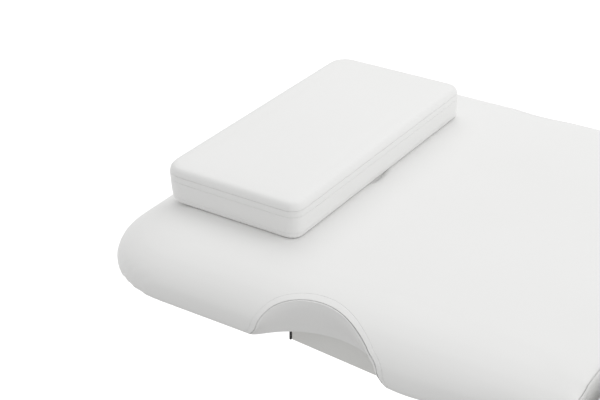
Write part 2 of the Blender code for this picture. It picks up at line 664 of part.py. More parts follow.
def build_lift_arms():
    """Two pairs of arms, each tied by a tube. The front pair's tie carries the lift actuator's lugs."""
    along = (-LIFT_REACH / LIFT_ARM, LIFT_RISE / LIFT_ARM)
    for pair, x in (("front", LOWER_FRONT_X), ("rear", LOWER_REAR_X)):
        low, high = (x, LOWER_PIVOT_Z), (x - LIFT_REACH, UPPER_PIVOT_Z)
        pivot = pivot_at(f"{pair}_arm_pivot", (x, 0, LOWER_PIVOT_Z))
        for label, side in SIDES_OF_BED:
            span = across(LIFT_ARM_INNER, LIFT_ARM_OUTER, side)
            arm = prism(f"{pair}_arm_{label}", stadium(low, high, LIFT_ARM_WIDTH / 2), span)
            for end, spot in (("lower", low), ("upper", high)):
                cut(arm, bar(f"{pair}_{end}_bore_{label}", (spot[0], span[0] - PAST, spot[1]),
                             (spot[0], span[1] + PAST, spot[1]), SHAFT_RADIUS + RUNNING, True))
            finish(arm, WHITE_STEEL, pivot)
        spot = (x + TIE_PLACE * along[0], LOWER_PIVOT_Z + TIE_PLACE * along[1])
        tie_half = LIFT_ARM_INNER - TOUCH
        tie = bar(f"{pair}_arm_tie", (spot[0], -tie_half, spot[1]), (spot[0], tie_half, spot[1]), TIE_RADIUS)
        if pair == "front":
            slot, centre, lug_radius = rod_slot("lift_slot", low, LIFT_TAIL, LIFT_EYE, LIFT_SWING,
                                                (-ACTUATOR_PIN_LENGTH, ACTUATOR_PIN_LENGTH))
            join(tie, *lug_pair("lift_rod", stadium(spot, centre, lug_radius), 0.0))
            cut(tie, slot)
        cut(tie, bar(f"{pair}_tie_inside", (spot[0], -BED_WIDTH, spot[1]), (spot[0], BED_WIDTH, spot[1]),
                     TIE_RADIUS - TIE_WALL, True))
        finish(tie, WHITE_STEEL, pivot)


def build_upper_frame():
    """The frame under the seat: rails, cross tubes, actuator beam, shafts, side plates and hinge pins."""
    pivot = pivot_at("upper_frame_pivot", (UPPER_REAR_X, 0, UPPER_PIVOT_Z))
    rail_low = UPPER_RAIL_TOP - UPPER_RAIL_HEIGHT
    for label, side in SIDES_OF_BED:
        y_low, y_high = across(RAIL_INNER, RAIL_OUTER, side)
        rail = hollow_tube(f"upper_rail_{label}", (UPPER_RAIL_HEAD, y_low, rail_low),
                           (UPPER_RAIL_FOOT, y_high, UPPER_RAIL_TOP), TUBE_WALL)
        for pair, x in (("front", UPPER_FRONT_X), ("rear", UPPER_REAR_X)):
            cut(rail, bar(f"upper_bore_{pair}_{label}", (x, y_low - PAST, UPPER_PIVOT_Z),
                          (x, y_high + PAST, UPPER_PIVOT_Z), SHAFT_RADIUS + RUNNING, True))
        finish(rail, WHITE_STEEL, pivot)
    cross_half = PLATE_INNER - TOUCH
    for end, x in (("head", SEAT_HEAD + UPPER_CROSS_SETBACK), ("foot", SEAT_FOOT - UPPER_CROSS_SETBACK)):
        cross = hollow_tube(f"upper_cross_{end}",
                            (x - UPPER_CROSS_LENGTH / 2, -cross_half, FRAME_TOP - UPPER_CROSS_HEIGHT),
                            (x + UPPER_CROSS_LENGTH / 2, cross_half, FRAME_TOP), TUBE_WALL, open_along=1)
        finish(cross, WHITE_STEEL, pivot)
    shaft_half = RAIL_OUTER + SHAFT_END
    for pair, x in (("front", UPPER_FRONT_X), ("rear", UPPER_REAR_X)):
        finish(bar(f"upper_shaft_{pair}", (x, -shaft_half, UPPER_PIVOT_Z), (x, shaft_half, UPPER_PIVOT_Z),
                   SHAFT_RADIUS), BRIGHT_STEEL, pivot)
    build_actuator_beam(pivot)
    build_side_plates(pivot)
    padded_section("seat", SEAT_HEAD, SEAT_FOOT, False, False, SEAT_END_ROLL, SEAT_END_ROLL, pivot)
    build_handset(pivot)


def build_actuator_beam(pivot):
    """The cross beam between the upper rails that carries the tails of the back and leg actuators."""
    half = RAIL_INNER - TOUCH
    low = (BEAM_PLACE - BEAM_LENGTH / 2, -half, UPPER_RAIL_TOP - BEAM_HEIGHT)
    high = (BEAM_PLACE + BEAM_LENGTH / 2, half, UPPER_RAIL_TOP)
    mid_z = UPPER_RAIL_TOP - BEAM_HEIGHT / 2
    lugs = []
    for label, tail, y in (("back", BACK_TAIL, SIDE_STEP), ("leg", LEG_TAIL, -SIDE_STEP)):
        lugs += lug_pair(f"{label}_tail", stadium(tail, (BEAM_PLACE, mid_z), LUG_RADIUS), y)
    beam = hollow_tube("actuator_beam", low, high, TUBE_WALL, 1, lugs)
    for label, tail, y in (("back", BACK_TAIL, SIDE_STEP), ("leg", LEG_TAIL, -SIDE_STEP)):
        cut(beam, pin_hole(f"{label}_tail_hole", tail, y, ACTUATOR_PIN_RADIUS + RUNNING))
    finish(beam, WHITE_STEEL, pivot)


def build_side_plates(pivot):
    """A steel plate on each side of the seat, with an eye at each end for a section's hinge pin."""
    back_eye, leg_eye = (BACK_HINGE_X, HINGE_Z), (LEG_HINGE_X, HINGE_Z)
    low = HINGE_Z - SIDE_PLATE_DROP
    high = low + SIDE_PLATE_DEPTH
    inset = EYE_RADIUS * 1.5
    outline = [(BACK_HINGE_X + inset, low), (LEG_HINGE_X - inset, low)]
    outline += arc(leg_eye, EYE_RADIUS, -45, 135, SIDES // 2)
    outline += [(LEG_HINGE_X - 2 * inset, high), (BACK_HINGE_X + 2 * inset, high)]
    outline += arc(back_eye, EYE_RADIUS, 45, 225, SIDES // 2)
    for label, side in SIDES_OF_BED:
        span = across(PLATE_INNER, PLATE_OUTER, side)
        plate = prism(f"side_plate_{label}", outline, span)
        for section, x in (("back", BACK_HINGE_X), ("leg", LEG_HINGE_X)):
            cut(plate, bar(f"{section}_plate_bore_{label}", (x, span[0] - PAST, HINGE_Z),
                           (x, span[1] + PAST, HINGE_Z), HINGE_PIN_RADIUS + RUNNING, True))
            head = EAR_OUTER + TOUCH
            rim = HINGE_HEAD_RADIUS * 0.8
            profile = [(0, head + HINGE_HEAD_LENGTH), (rim, head + HINGE_HEAD_LENGTH),
                       (HINGE_HEAD_RADIUS, head + HINGE_HEAD_LENGTH / 2), (HINGE_HEAD_RADIUS, head),
                       (HINGE_PIN_RADIUS, head), (HINGE_PIN_RADIUS, PLATE_INNER - HINGE_PIN_INNER),
                       (0, PLATE_INNER - HINGE_PIN_INNER)]
            pin = turned(f"{section}_hinge_pin_{label}", profile, (x, 0, HINGE_Z), (0, side, 0))
            finish(pin, BRIGHT_STEEL, pivot)
        finish(plate, WHITE_STEEL, pivot)


def section_arm(section, label, side, hinge_x, heading, length, capped, pivot):
    """A tapered arm under a section, with the ear that turns on the section's hinge pin."""
    root = hinge_x + heading * ARM_ROOT_SETBACK
    tip = root + heading * length
    span = across(ARM_INNER, ARM_OUTER, side)
    fall = (ARM_ROOT_DEPTH - ARM_TIP_DEPTH) / length

    def taper(start, end, wall):
        depths = [FRAME_TOP - ARM_ROOT_DEPTH + fall * abs(x - root) + wall for x in (start, end)]
        return [(start, FRAME_TOP - wall), (end, FRAME_TOP - wall), (end, depths[1]), (start, depths[0])]

    arm = prism(f"{section}_arm_{label}", taper(root, tip, 0.0), span)
    soften(arm, TUBE_EDGE)
    near_x = root + heading * TUBE_EDGE * 2
    flange_x = near_x + heading * EAR_LENGTH
    flange_y = across(ARM_OUTER - ARM_WALL, EAR_OUTER - WELD_STEP, side)
    flange = box(f"{section}_ear_flange_{label}",
                 (min(near_x, flange_x), flange_y[0], FRAME_TOP - EAR_FLANGE),
                 (max(near_x, flange_x), flange_y[1], FRAME_TOP - WELD_STEP), True)
    foot = FRAME_TOP - EAR_FLANGE - WELD_STEP
    far_x = flange_x + heading * WELD_STEP
    ear_outline = [(far_x, foot), (root, foot)]
    ear_outline += [(hinge_x - heading * (x - hinge_x), z)
                    for x, z in arc((hinge_x, HINGE_Z), EYE_RADIUS, -30, 110, SIDES // 2)]
    ear_outline.append((far_x, foot + 2 * EAR_FLANGE))
    ear_span = across(EAR_INNER, EAR_OUTER, side)
    ear = prism(f"{section}_ear_{label}", ear_outline, ear_span, cutter=True)
    join(arm, flange, ear)
    hollow_end = tip + heading * PAST if capped else tip - heading * ARM_WALL
    inner_span = across(ARM_INNER + ARM_WALL, ARM_OUTER - ARM_WALL, side)
    cut(arm, prism(f"{section}_arm_inside_{label}", taper(root + heading * ARM_WALL, hollow_end, ARM_WALL),
                   inner_span, cutter=True))
    middle_y = (span[0] + span[1]) / 2
    if not capped:
        x = (root + tip) / 2
        cut(arm, bar(f"{section}_arm_drain_{label}", (x, middle_y, FRAME_TOP - ARM_ROOT_DEPTH - PAST),
                     (x, middle_y, FRAME_TOP - ARM_TIP_DEPTH / 2), DRAIN_RADIUS, True))
    cut(arm, bar(f"{section}_ear_bore_{label}", (hinge_x, ear_span[0] - PAST / 2, HINGE_Z),
                 (hinge_x, ear_span[1] + PAST / 2, HINGE_Z), HINGE_PIN_RADIUS + RUNNING, True))
    finish(arm, WHITE_STEEL, pivot)
    if capped:
        start = tip + heading * TOUCH
        end = start + heading * CAP_FLANGE
        cap = box(f"{section}_arm_cap_{label}", (min(start, end), span[0], FRAME_TOP - ARM_TIP_DEPTH),
                  (max(start, end), span[1], FRAME_TOP))
        gap = ARM_WALL + TOUCH
        plug_span = across(ARM_INNER + gap, ARM_OUTER - gap, side)
        plug = prism(f"{section}_cap_plug_{label}", taper(tip - heading * CAP_PLUG, end, gap), plug_span,
                     cutter=True)
        trim = box(f"{section}_cap_trim_{label}", (min(end, end + heading * PAST), span[0] - PAST, PAD_BOTTOM / 2),
                   (max(end, end + heading * PAST), span[1] + PAST, BED_TOP), True)
        join(cap, plug)
        cut(cap, trim)
        finish(cap, BLACK_PLASTIC, pivot)


def section_cross(section, hinge_x, heading, tail, eye, angle, middle_y, pivot):
    """The cross tube between a section's arms, with the slotted lugs that its actuator pushes."""
    x = hinge_x + heading * SECTION_CROSS_SETBACK
    half = ARM_INNER - TOUCH
    low = (x - SECTION_CROSS_LENGTH / 2, -half, FRAME_TOP - SECTION_CROSS_HEIGHT)
    high = (x + SECTION_CROSS_LENGTH / 2, half, FRAME_TOP)
    slot, centre, lug_radius = rod_slot(f"{section}_slot", (hinge_x, HINGE_Z), tail, eye, angle,
                                        (middle_y - ACTUATOR_PIN_LENGTH, middle_y + ACTUATOR_PIN_LENGTH))
    root = (x, FRAME_TOP - SECTION_CROSS_HEIGHT / 2)
    outline = stadium(centre, root, lug_radius, SECTION_CROSS_HEIGHT / 2 - TUBE_WALL / 2)
    lugs = lug_pair(f"{section}_rod", outline, middle_y)
    cross = hollow_tube(f"{section}_cross", low, high, TUBE_WALL, 1, lugs)
    cut(cross, slot)
    finish(cross, WHITE_STEEL, pivot)


def build_back():
    """The back section, with its arm notches and face hole."""
    pivot = pivot_at("back_pivot", (BACK_HINGE_X, 0, HINGE_Z))
    padded_section("back", HEAD_END, BACK_FOOT, True, False, SEAMED_END_ROLL, SEAMED_END_ROLL, pivot, True)
    for label, side in SIDES_OF_BED:
        section_arm("back", label, side, BACK_HINGE_X, -1, BACK_ARM_LENGTH, True, pivot)
    section_cross("back", BACK_HINGE_X, -1, BACK_TAIL, BACK_EYE, BACK_SWING, SIDE_STEP, pivot)


def build_leg():
    """The leg section."""
    pivot = pivot_at("leg_pivot", (LEG_HINGE_X, 0, HINGE_Z))
    padded_section("leg", LEG_HEAD, FOOT_END, False, True, SEAMED_END_ROLL, SEAMED_END_ROLL, pivot)
    for label, side in SIDES_OF_BED:
        section_arm("leg", label, side, LEG_HINGE_X, 1, LEG_ARM_LENGTH, False, pivot)
    section_cross("leg", LEG_HINGE_X, 1, LEG_TAIL, LEG_EYE, -LEG_SWING, -SIDE_STEP, pivot)


def build_pillow():
    """The loose box pillow: a foam block in a fitted cover, with round corners and edges."""
    half = Vector((PILLOW_DEPTH, PILLOW_LENGTH, PILLOW_HEIGHT)) / 2
    near = 0.00001
    shape = bmesh.new()
    bmesh.ops.create_cube(shape, size=2.0)
    bmesh.ops.scale(shape, vec=half, verts=shape.verts)
    corners = [e for e in shape.edges if abs(e.verts[0].co.z - e.verts[1].co.z) > half.z]
    bmesh.ops.bevel(shape, geom=corners, offset=PILLOW_CORNER, offset_type="OFFSET",
                    segments=CORNER_STEPS, profile=0.5, affect="EDGES")
    for level, width in ((half.z, PILLOW_EDGE), (-half.z, PILLOW_TUCK)):
        rim = [e for e in shape.edges if all(abs(vert.co.z - level) < near for vert in e.verts)]
        bmesh.ops.bevel(shape, geom=rim, offset=width, offset_type="OFFSET",
                        segments=PILLOW_EDGE_STEPS, profile=0.5, affect="EDGES")
    middle = (HEAD_END + PILLOW_FROM_HEAD + half.x, PILLOW_OFFSET, BED_TOP + TOUCH + half.z)
    finish(place("pillow", shape, middle, False), UPHOLSTERY)


def build_handset(pivot):
    """The handset, its push buttons, and the clip that holds it under the right side plate."""
    top = HINGE_Z - SIDE_PLATE_DROP - HANDSET_TOP_GAP
    low = top - HANDSET_HEIGHT
    front = -(EAR_OUTER + TOUCH)
    rear = front + HANDSET_THICKNESS
    left, right = HANDSET_X - HANDSET_WIDTH / 2, HANDSET_X + HANDSET_WIDTH / 2
    side_low, side_high = left - CLIP_GAP, right + CLIP_GAP
    back_low = rear + CLIP_GAP
    back_high = back_low + CLIP_WALL
    plate_top = HINGE_Z - SIDE_PLATE_DROP + SIDE_PLATE_DEPTH / 2
    floor = low - CLIP_GAP
    clip = box("handset_clip", (side_low - CLIP_WALL, back_low, floor - CLIP_WALL),
               (side_high + CLIP_WALL, back_high, plate_top))
    seat_face = -(PLATE_INNER - TOUCH)
    join(clip, box("clip_spacer", (side_low - CLIP_WALL, seat_face, HINGE_Z - SIDE_PLATE_DROP),
                   (side_high + CLIP_WALL, back_high - CLIP_WALL / 2, plate_top - CLIP_WALL), True))
    join(clip, box("clip_floor", (side_low - CLIP_WALL, rear - CLIP_LIP, floor - CLIP_WALL * 0.98),
                   (side_high + CLIP_WALL * 0.98, back_high - CLIP_WALL / 2, floor), True))
    for name, x in (("clip_cheek_left", side_low - CLIP_WALL * 0.97), ("clip_cheek_right", side_high)):
        join(clip, box(name, (x, rear - CLIP_LIP * 0.99, floor - CLIP_WALL / 2),
                       (x + CLIP_WALL * 0.97, back_high - CLIP_WALL / 2, low + HANDSET_HEIGHT / 3), True))
    finish(clip, BLACK_PLASTIC, pivot)
    shell = box("handset", (left, front, low), (right, rear, top))
    soften(shell, HANDSET_EDGE)
    finish(shell, GREY_PLASTIC)
    mid_z = (low + top) / 2
    pocket_floor = front + BUTTON_SEAT + BUTTON_TRAVEL + TOUCH
    for row in range(BUTTON_ROWS):
        z = mid_z + ((BUTTON_ROWS - 1) / 2 - row) * BUTTON_ROW_STEP
        for column, way in enumerate(("up", "down")):
            x = HANDSET_X + (column - 0.5) * BUTTON_COLUMN_STEP
            name = f"{('lift', 'back', 'leg')[row]}_{way}_button"
            cut(shell, bar(f"{name}_pocket", (x, front - PAST, z), (x, pocket_floor, z),
                           BUTTON_RADIUS + RUNNING, True))
            button = bar(name, (x, front - BUTTON_PROUD, z), (x, front + BUTTON_SEAT, z), BUTTON_RADIUS)
            finish(button, BLACK_PLASTIC)


def build_actuators():
    """The three actuators: one for the lift, one for the back section and one for the leg section."""
    stroke = rod_travel((LOWER_FRONT_X, LOWER_PIVOT_Z), LIFT_TAIL, LIFT_EYE, LIFT_SWING)[1]
    actuator("lift", LIFT_TAIL, LIFT_EYE, 0.0, stroke, LIFT_TUBE_SHORT, 1)
    stroke = rod_travel((BACK_HINGE_X, HINGE_Z), BACK_TAIL, BACK_EYE, BACK_SWING)[1]
    actuator("back", BACK_TAIL, BACK_EYE, SIDE_STEP, stroke, SECTION_TUBE_SHORT, 1)
    stroke = rod_travel((LEG_HINGE_X, HINGE_Z), LEG_TAIL, LEG_EYE, -LEG_SWING)[1]
    actuator("leg", LEG_TAIL, LEG_EYE, -SIDE_STEP, stroke, SECTION_TUBE_SHORT, -1)


build_base()
build_lift_arms()
build_upper_frame()
build_back()
build_leg()
build_pillow()
build_actuators()
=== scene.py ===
import bmesh
import bpy
import json
import numpy as np
from math import atan2, pi, radians
from mathutils import Matrix, Vector


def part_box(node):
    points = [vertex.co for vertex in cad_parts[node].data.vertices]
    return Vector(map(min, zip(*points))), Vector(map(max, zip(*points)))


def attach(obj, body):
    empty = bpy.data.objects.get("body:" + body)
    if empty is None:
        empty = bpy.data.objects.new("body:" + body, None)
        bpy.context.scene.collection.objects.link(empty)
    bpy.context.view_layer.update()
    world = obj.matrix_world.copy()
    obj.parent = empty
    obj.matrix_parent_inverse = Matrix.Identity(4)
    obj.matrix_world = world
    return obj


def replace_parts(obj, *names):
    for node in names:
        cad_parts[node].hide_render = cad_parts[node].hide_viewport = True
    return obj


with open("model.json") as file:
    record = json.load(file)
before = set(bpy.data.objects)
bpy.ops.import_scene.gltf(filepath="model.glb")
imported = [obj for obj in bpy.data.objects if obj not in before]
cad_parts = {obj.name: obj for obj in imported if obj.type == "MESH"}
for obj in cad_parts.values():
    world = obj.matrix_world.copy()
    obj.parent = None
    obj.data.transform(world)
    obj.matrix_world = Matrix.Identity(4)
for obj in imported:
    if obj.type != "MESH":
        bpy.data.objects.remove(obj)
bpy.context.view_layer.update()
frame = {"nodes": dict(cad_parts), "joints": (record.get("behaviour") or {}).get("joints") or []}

# Base frame: two box-tube rails and two cross tubes of mild steel, sawn square, welded and coated white.
# The rails stand on edge, and black plugs close their ends against dirt and sharp edges.


class Tone:
    """One value of a finish. Sums on it are written as plain arithmetic and become nodes."""

    def __init__(self, socket):
        self.socket = socket

    def node(self, kind, inputs, output=0, **settings):
        """Adds a node: its settings first, then the values or links of its sockets."""
        tree = self.socket.id_data
        made = tree.nodes.new(kind)
        for name, value in settings.items():
            setattr(made, name, value)
        for place, value in inputs.items():
            if isinstance(value, Tone):
                tree.links.new(value.socket, made.inputs[place])
            else:
                made.inputs[place].default_value = value
        return Tone(made.outputs[output])

    def sum(self, operation, first, second):
        return self.node("ShaderNodeMath", {0: first, 1: second}, operation=operation)

    def __add__(self, other):
        return self.sum("ADD", self, other)

    def __radd__(self, other):
        return self.sum("ADD", other, self)

    def __mul__(self, other):
        return self.sum("MULTIPLY", self, other)

    def __rmul__(self, other):
        return self.sum("MULTIPLY", other, self)

    def mottle(self, scale, detail=2.0, rough=0.5):
        """Soft random patches, from 0 to 1."""
        return self.node("ShaderNodeTexNoise", {"Vector": self, "Scale": scale, "Detail": detail,
                                                "Roughness": rough})

    def between(self, first, second):
        """A colour from first to second, by this value."""
        return self.node("ShaderNodeMix", {0: self, 6: first, 7: second}, 2, data_type="RGBA")

    def clear(self, low, high):
        """This value spread from 0 at low to 1 at high, and held there."""
        return self.node("ShaderNodeMapRange", {0: self, 1: low, 2: high, 3: 0.0, 4: 1.0})

    def stretched(self, scale, turn=(0.0, 0.0, 0.0)):
        """The place on the piece, with each direction scaled for a pattern that runs one way."""
        return self.node("ShaderNodeMapping", {"Vector": self, "Rotation": turn, "Scale": scale})

    def relief(self, strength, depth):
        """The surface's tilt for a height given by this value."""
        return self.node("ShaderNodeBump", {"Height": self, "Strength": strength, "Distance": depth})


def new_finish(name, **even):
    """A new material with its even values set, its shader, and the place on the piece."""
    made = bpy.data.materials.new(name)
    made.use_nodes = True
    shader = made.node_tree.nodes["Principled BSDF"]
    for socket, value in even.items():
        shader.inputs[socket.replace("_", " ").title().replace("Ior", "IOR")].default_value = value
    place = Tone(made.node_tree.nodes.new("ShaderNodeTexCoord").outputs["Object"])

    def feed(socket, tone):
        made.node_tree.links.new(tone.socket, shader.inputs[socket])

    return made, feed, place


powder_coat, feed, place = new_finish("white_powder_coat")
patches = place.mottle(7.0, 3.0)
peel = place.mottle(620.0, 2.0, 0.45)
specks = place.mottle(2600.0, 1.0)
feed("Base Color", patches.between((0.765, 0.765, 0.745, 1), (0.80, 0.80, 0.785, 1)))
feed("Roughness", 0.36 + patches * 0.10 + specks * 0.04)
feed("Normal", (peel * 0.8 + specks * 0.2).relief(0.22, 0.0005))

black_plastic, feed, place = new_finish("black_moulded_plastic")
grain = place.mottle(1900.0, 3.0, 0.6)
patches = place.mottle(11.0, 2.0)
feed("Base Color", patches.between((0.021, 0.021, 0.023, 1), (0.032, 0.032, 0.034, 1)))
feed("Roughness", 0.44 + grain * 0.14)
feed("Normal", grain.relief(0.30, 0.0003))


def start_clean():
    """Leaves edit mode and selects nothing, so that the next tool acts on the new piece alone."""
    if bpy.context.mode != "OBJECT":
        bpy.ops.object.mode_set(mode="OBJECT")
    bpy.ops.object.select_all(action="DESELECT")


def take(piece):
    """Selects one piece."""
    start_clean()
    piece.select_set(True)
    bpy.context.view_layer.objects.active = piece
    return piece


def settle(piece):
    """Puts a piece's place, turn and size into its mesh."""
    take(piece)
    bpy.ops.object.transform_apply(location=True, rotation=True, scale=True)
    return piece


def pick(piece, kind, test):
    """In edit mode, selects the faces or edges whose middle and direction pass a test."""
    bpy.ops.mesh.select_mode(type=kind)
    bpy.ops.mesh.select_all(action="DESELECT")
    shape = bmesh.from_edit_mesh(piece.data)
    if kind == "FACE":
        for face in shape.faces:
            face.select_set(bool(test(face.calc_center_median(), face.normal)))
    else:
        for edge in shape.edges:
            ends = [vert.co for vert in edge.verts]
            edge.select_set(bool(test((ends[0] + ends[1]) / 2, (ends[1] - ends[0]).normalized())))
    bmesh.update_edit_mesh(piece.data)


def modify(piece, kind, **settings):
    """Adds one modifier and applies it."""
    take(piece)
    step = piece.modifiers.new(kind.lower(), kind)
    for name, value in settings.items():
        setattr(step, name, value)
    bpy.ops.object.modifier_apply(modifier=step.name)
    return piece


def dress(piece, finish, body, angle=35):
    """Ends a piece: smooth shading with crisp corners, its finish, and the body that it rides on."""
    settle(piece)
    bpy.ops.object.shade_smooth_by_angle(angle=radians(angle))
    piece.data.materials.clear()
    piece.data.materials.append(finish)
    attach(piece, body)
    return piece


def paint(finish, *nodes):
    """Gives a finish to nodes of the frame that are right as they stand."""
    for name in nodes:
        for slot in frame["nodes"][name].material_slots:
            slot.material = finish


def block(name, low, high, edge, steps=2):
    """A block between two corners, with rounded edges."""
    low, high = Vector(low), Vector(high)
    start_clean()
    bpy.ops.mesh.primitive_cube_add(size=1, location=(low + high) / 2, scale=high - low)
    piece = bpy.context.object
    piece.name = name
    settle(piece)
    bpy.ops.object.mode_set(mode="EDIT")
    bpy.ops.mesh.select_all(action="SELECT")
    bpy.ops.mesh.bevel(offset=edge, segments=steps, affect="EDGES")
    bpy.ops.object.mode_set(mode="OBJECT")
    return piece


def copy_of(piece, name, shift=(0, 0, 0)):
    """Another piece like this one, with its own mesh, moved by shift."""
    other = piece.copy()
    other.data = piece.data.copy()
    other.name = name
    other.data.transform(Matrix.Translation(shift))
    bpy.context.scene.collection.objects.link(other)
    return other


def as_one(name, pieces):
    """Joins pieces into one."""
    take(pieces[0])
    for piece in pieces[1:]:
        piece.select_set(True)
    bpy.ops.object.join()
    pieces[0].name = name
    return pieces[0]


PLUG_GAP, PLUG_OUT, PLUG_EDGE = 0.0003, 0.0035, 0.0012
PLUG_RIM, PLUG_DISH = 0.004, 0.0008


def rail_plugs(rail, body):
    """A black plug in each end of a box-tube rail, with a shallow dished face."""
    low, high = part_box(rail)
    for end, x, out in (("head", low.x, -1), ("foot", high.x, 1)):
        inner, outer = x + out * PLUG_GAP, x + out * PLUG_OUT
        plug = block(f"{rail}_plug_{end}", (min(inner, outer), low.y, low.z),
                     (max(inner, outer), high.y, high.z), PLUG_EDGE)
        bpy.ops.object.mode_set(mode="EDIT")
        pick(plug, "FACE", lambda middle, normal: normal.x * out > 0.99)
        bpy.ops.mesh.inset(thickness=PLUG_RIM)
        bpy.ops.transform.translate(value=(-out * PLUG_DISH, 0, 0))
        bpy.ops.object.mode_set(mode="OBJECT")
        dress(plug, black_plastic, body)


for rail in ("base_rail_left", "base_rail_right"):
    rail_plugs(rail, "base")
paint(powder_coat, "base_rail_left", "base_rail_right", "base_cross_head", "base_cross_foot")

# Weld beads of the base frame: rippled fillet welds, run where the cross tubes meet the rails.
# They are coated together with the tubes.
BEAD_RADIUS, BEAD_PITCH, BEAD_SUNK = 0.0021, 0.0022, 0.0005


def turned(name, profile, spot, axis=(0, 0, 1), sides=40):
    """A turned piece: a disc drawn out step by step through pairs of radius and height."""
    start_clean()
    reach, level = profile[0]
    bpy.ops.mesh.primitive_circle_add(vertices=sides, radius=reach, fill_type="NGON",
                                      location=(0, 0, level))
    piece = bpy.context.object
    piece.name = name
    settle(piece)
    bpy.ops.object.mode_set(mode="EDIT")
    bpy.ops.mesh.select_all(action="SELECT")
    for radius, height in profile[1:]:
        bpy.ops.mesh.extrude_region_move(TRANSFORM_OT_translate={"value": (0, 0, height - level)})
        bpy.ops.transform.resize(value=(radius / reach, radius / reach, 1))
        reach, level = radius, height
    bpy.ops.mesh.select_all(action="SELECT")
    bpy.ops.mesh.normals_make_consistent(inside=False)
    bpy.ops.object.mode_set(mode="OBJECT")
    piece.rotation_euler = Vector((0, 0, 1)).rotation_difference(Vector(axis)).to_euler()
    piece.location = spot
    return settle(piece)


def weld_bead(start, end):
    """A straight bead: one short run of ripples, repeated to the length."""
    start, end = Vector(start), Vector(end)
    ripple = [(BEAD_RADIUS * 0.72, 0.0), (BEAD_RADIUS, BEAD_PITCH * 0.35),
              (BEAD_RADIUS * 0.97, BEAD_PITCH * 0.7), (BEAD_RADIUS * 0.72, BEAD_PITCH)]
    bead = turned("bead", ripple, (0, 0, 0), sides=8)
    modify(bead, "ARRAY", count=max(1, round((end - start).length / BEAD_PITCH)), use_relative_offset=False,
           use_constant_offset=True, constant_offset_displace=(0, 0, BEAD_PITCH * 0.999))
    bead.rotation_euler = Vector((0, 0, 1)).rotation_difference(end - start).to_euler()
    bead.location = start
    return settle(bead)


def corner_welds(name, cross, body, inset=0.004):
    """Beads at the four corners and along the top of a cross tube that butts against two rails."""
    low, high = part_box(cross)
    ends = (low.y + BEAD_SUNK, high.y - BEAD_SUNK)
    beads = [weld_bead((x, y, low.z + inset), (x, y, high.z - inset)) for x in (low.x, high.x) for y in ends]
    beads += [weld_bead((low.x + inset, y, high.z), (high.x - inset, y, high.z)) for y in ends]
    return dress(as_one(name, beads), powder_coat, body, 60)


corner_welds("base_welds_head", "base_cross_head", "base")
corner_welds("base_welds_foot", "base_cross_foot", "base")

# Levelling feet: a ribbed rubber pad moulded on a zinc-plated threaded stud, with a hexagon lock nut under
# the rail. They screw into the ends of the base frame.
rubber, feed, place = new_finish("black_rubber")
dust = place.mottle(46.0, 4.0, 0.6)
grain = place.mottle(1200.0, 2.0)
feed("Base Color", dust.clear(0.4, 0.8).between((0.022, 0.022, 0.022, 1), (0.050, 0.049, 0.047, 1)))
feed("Roughness", 0.72 + dust * 0.16)
feed("Normal", grain.relief(0.25, 0.0004))

bright_steel, feed, place = new_finish("bright_zinc_steel", metallic=1.0)
turning = place.stretched((900.0, 35.0, 900.0)).mottle(1.0, 3.0, 0.6)
clouds = place.mottle(28.0, 3.0)
feed("Base Color", clouds.between((0.56, 0.565, 0.58, 1), (0.69, 0.685, 0.67, 1)))
feed("Roughness", 0.20 + turning * 0.14 + clouds * 0.06)
feed("Normal", turning.relief(0.10, 0.0002))

CREST, ROOT, THREAD_PITCH, THREAD_TURNS = 0.0079, 0.0071, 0.00125, 13
thread = [(CREST, 0.0100)]
for turn in range(THREAD_TURNS):
    thread += [(CREST, 0.0118 + turn * THREAD_PITCH), (ROOT, 0.01240 + turn * THREAD_PITCH)]
foot_pad = [(0.0235, 0.0), (0.0262, 0.0006), (0.0270, 0.0020), (0.0270, 0.0034), (0.0262, 0.0040),
            (0.0270, 0.0046), (0.0268, 0.0060), (0.0250, 0.0078), (0.0216, 0.0095), (0.0150, 0.0100),
            (0.0128, 0.0112), (0.0086, 0.0116)]
lock_nut = [(0.0118, 0.0267), (0.0130, 0.0275), (0.0130, 0.0339), (0.0118, 0.0347)]
NUT_EDGE = 0.0008
for node in [f"levelling_foot_{end}_{side}" for end in ("head", "foot") for side in ("left", "right")]:
    low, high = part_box(node)
    spot = ((low.x + high.x) / 2, (low.y + high.y) / 2, low.z)
    pad = turned(f"{node}_pad", foot_pad, spot)
    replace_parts(dress(pad, rubber, "base"), node)
    stud = turned(f"{node}_stud", thread, spot, sides=28)
    dress(stud, bright_steel, "base")
    nut = turned(f"{node}_nut", lock_nut, spot, sides=6)
    bpy.ops.object.mode_set(mode="EDIT")
    pick(nut, "EDGE", lambda spot, along: abs(along.z) > 0.9)
    bpy.ops.mesh.bevel(offset=NUT_EDGE, segments=2, affect="EDGES")
    dress(nut, bright_steel, "base")

# Lower shafts: bright steel bars through the base rails, on which the lift arms turn.
# A pressed dome cap holds each end.
CAP_SEAT = 0.0058


def shaft_caps(shaft, body):
    """A dome cap on each end of a shaft."""
    low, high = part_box(shaft)
    x, z = (low.x + high.x) / 2, (low.z + high.z) / 2
    dome = [(0.0165, 0.0), (0.0168, 0.0012), (0.0160, 0.0030), (0.0138, 0.0040), (0.0130, 0.0052),
            (0.0122, 0.0074), (0.0096, 0.0088), (0.0050, 0.0095)]
    for side, y, out in (("left", high.y, 1), ("right", low.y, -1)):
        cap = turned(f"{shaft}_cap_{side}", dome, (x, y - out * CAP_SEAT, z), (0, out, 0))
        dress(cap, bright_steel, body, 50)


for shaft in ("lower_shaft_front", "lower_shaft_rear"):
    shaft_caps(shaft, "base")
    paint(bright_steel, shaft)

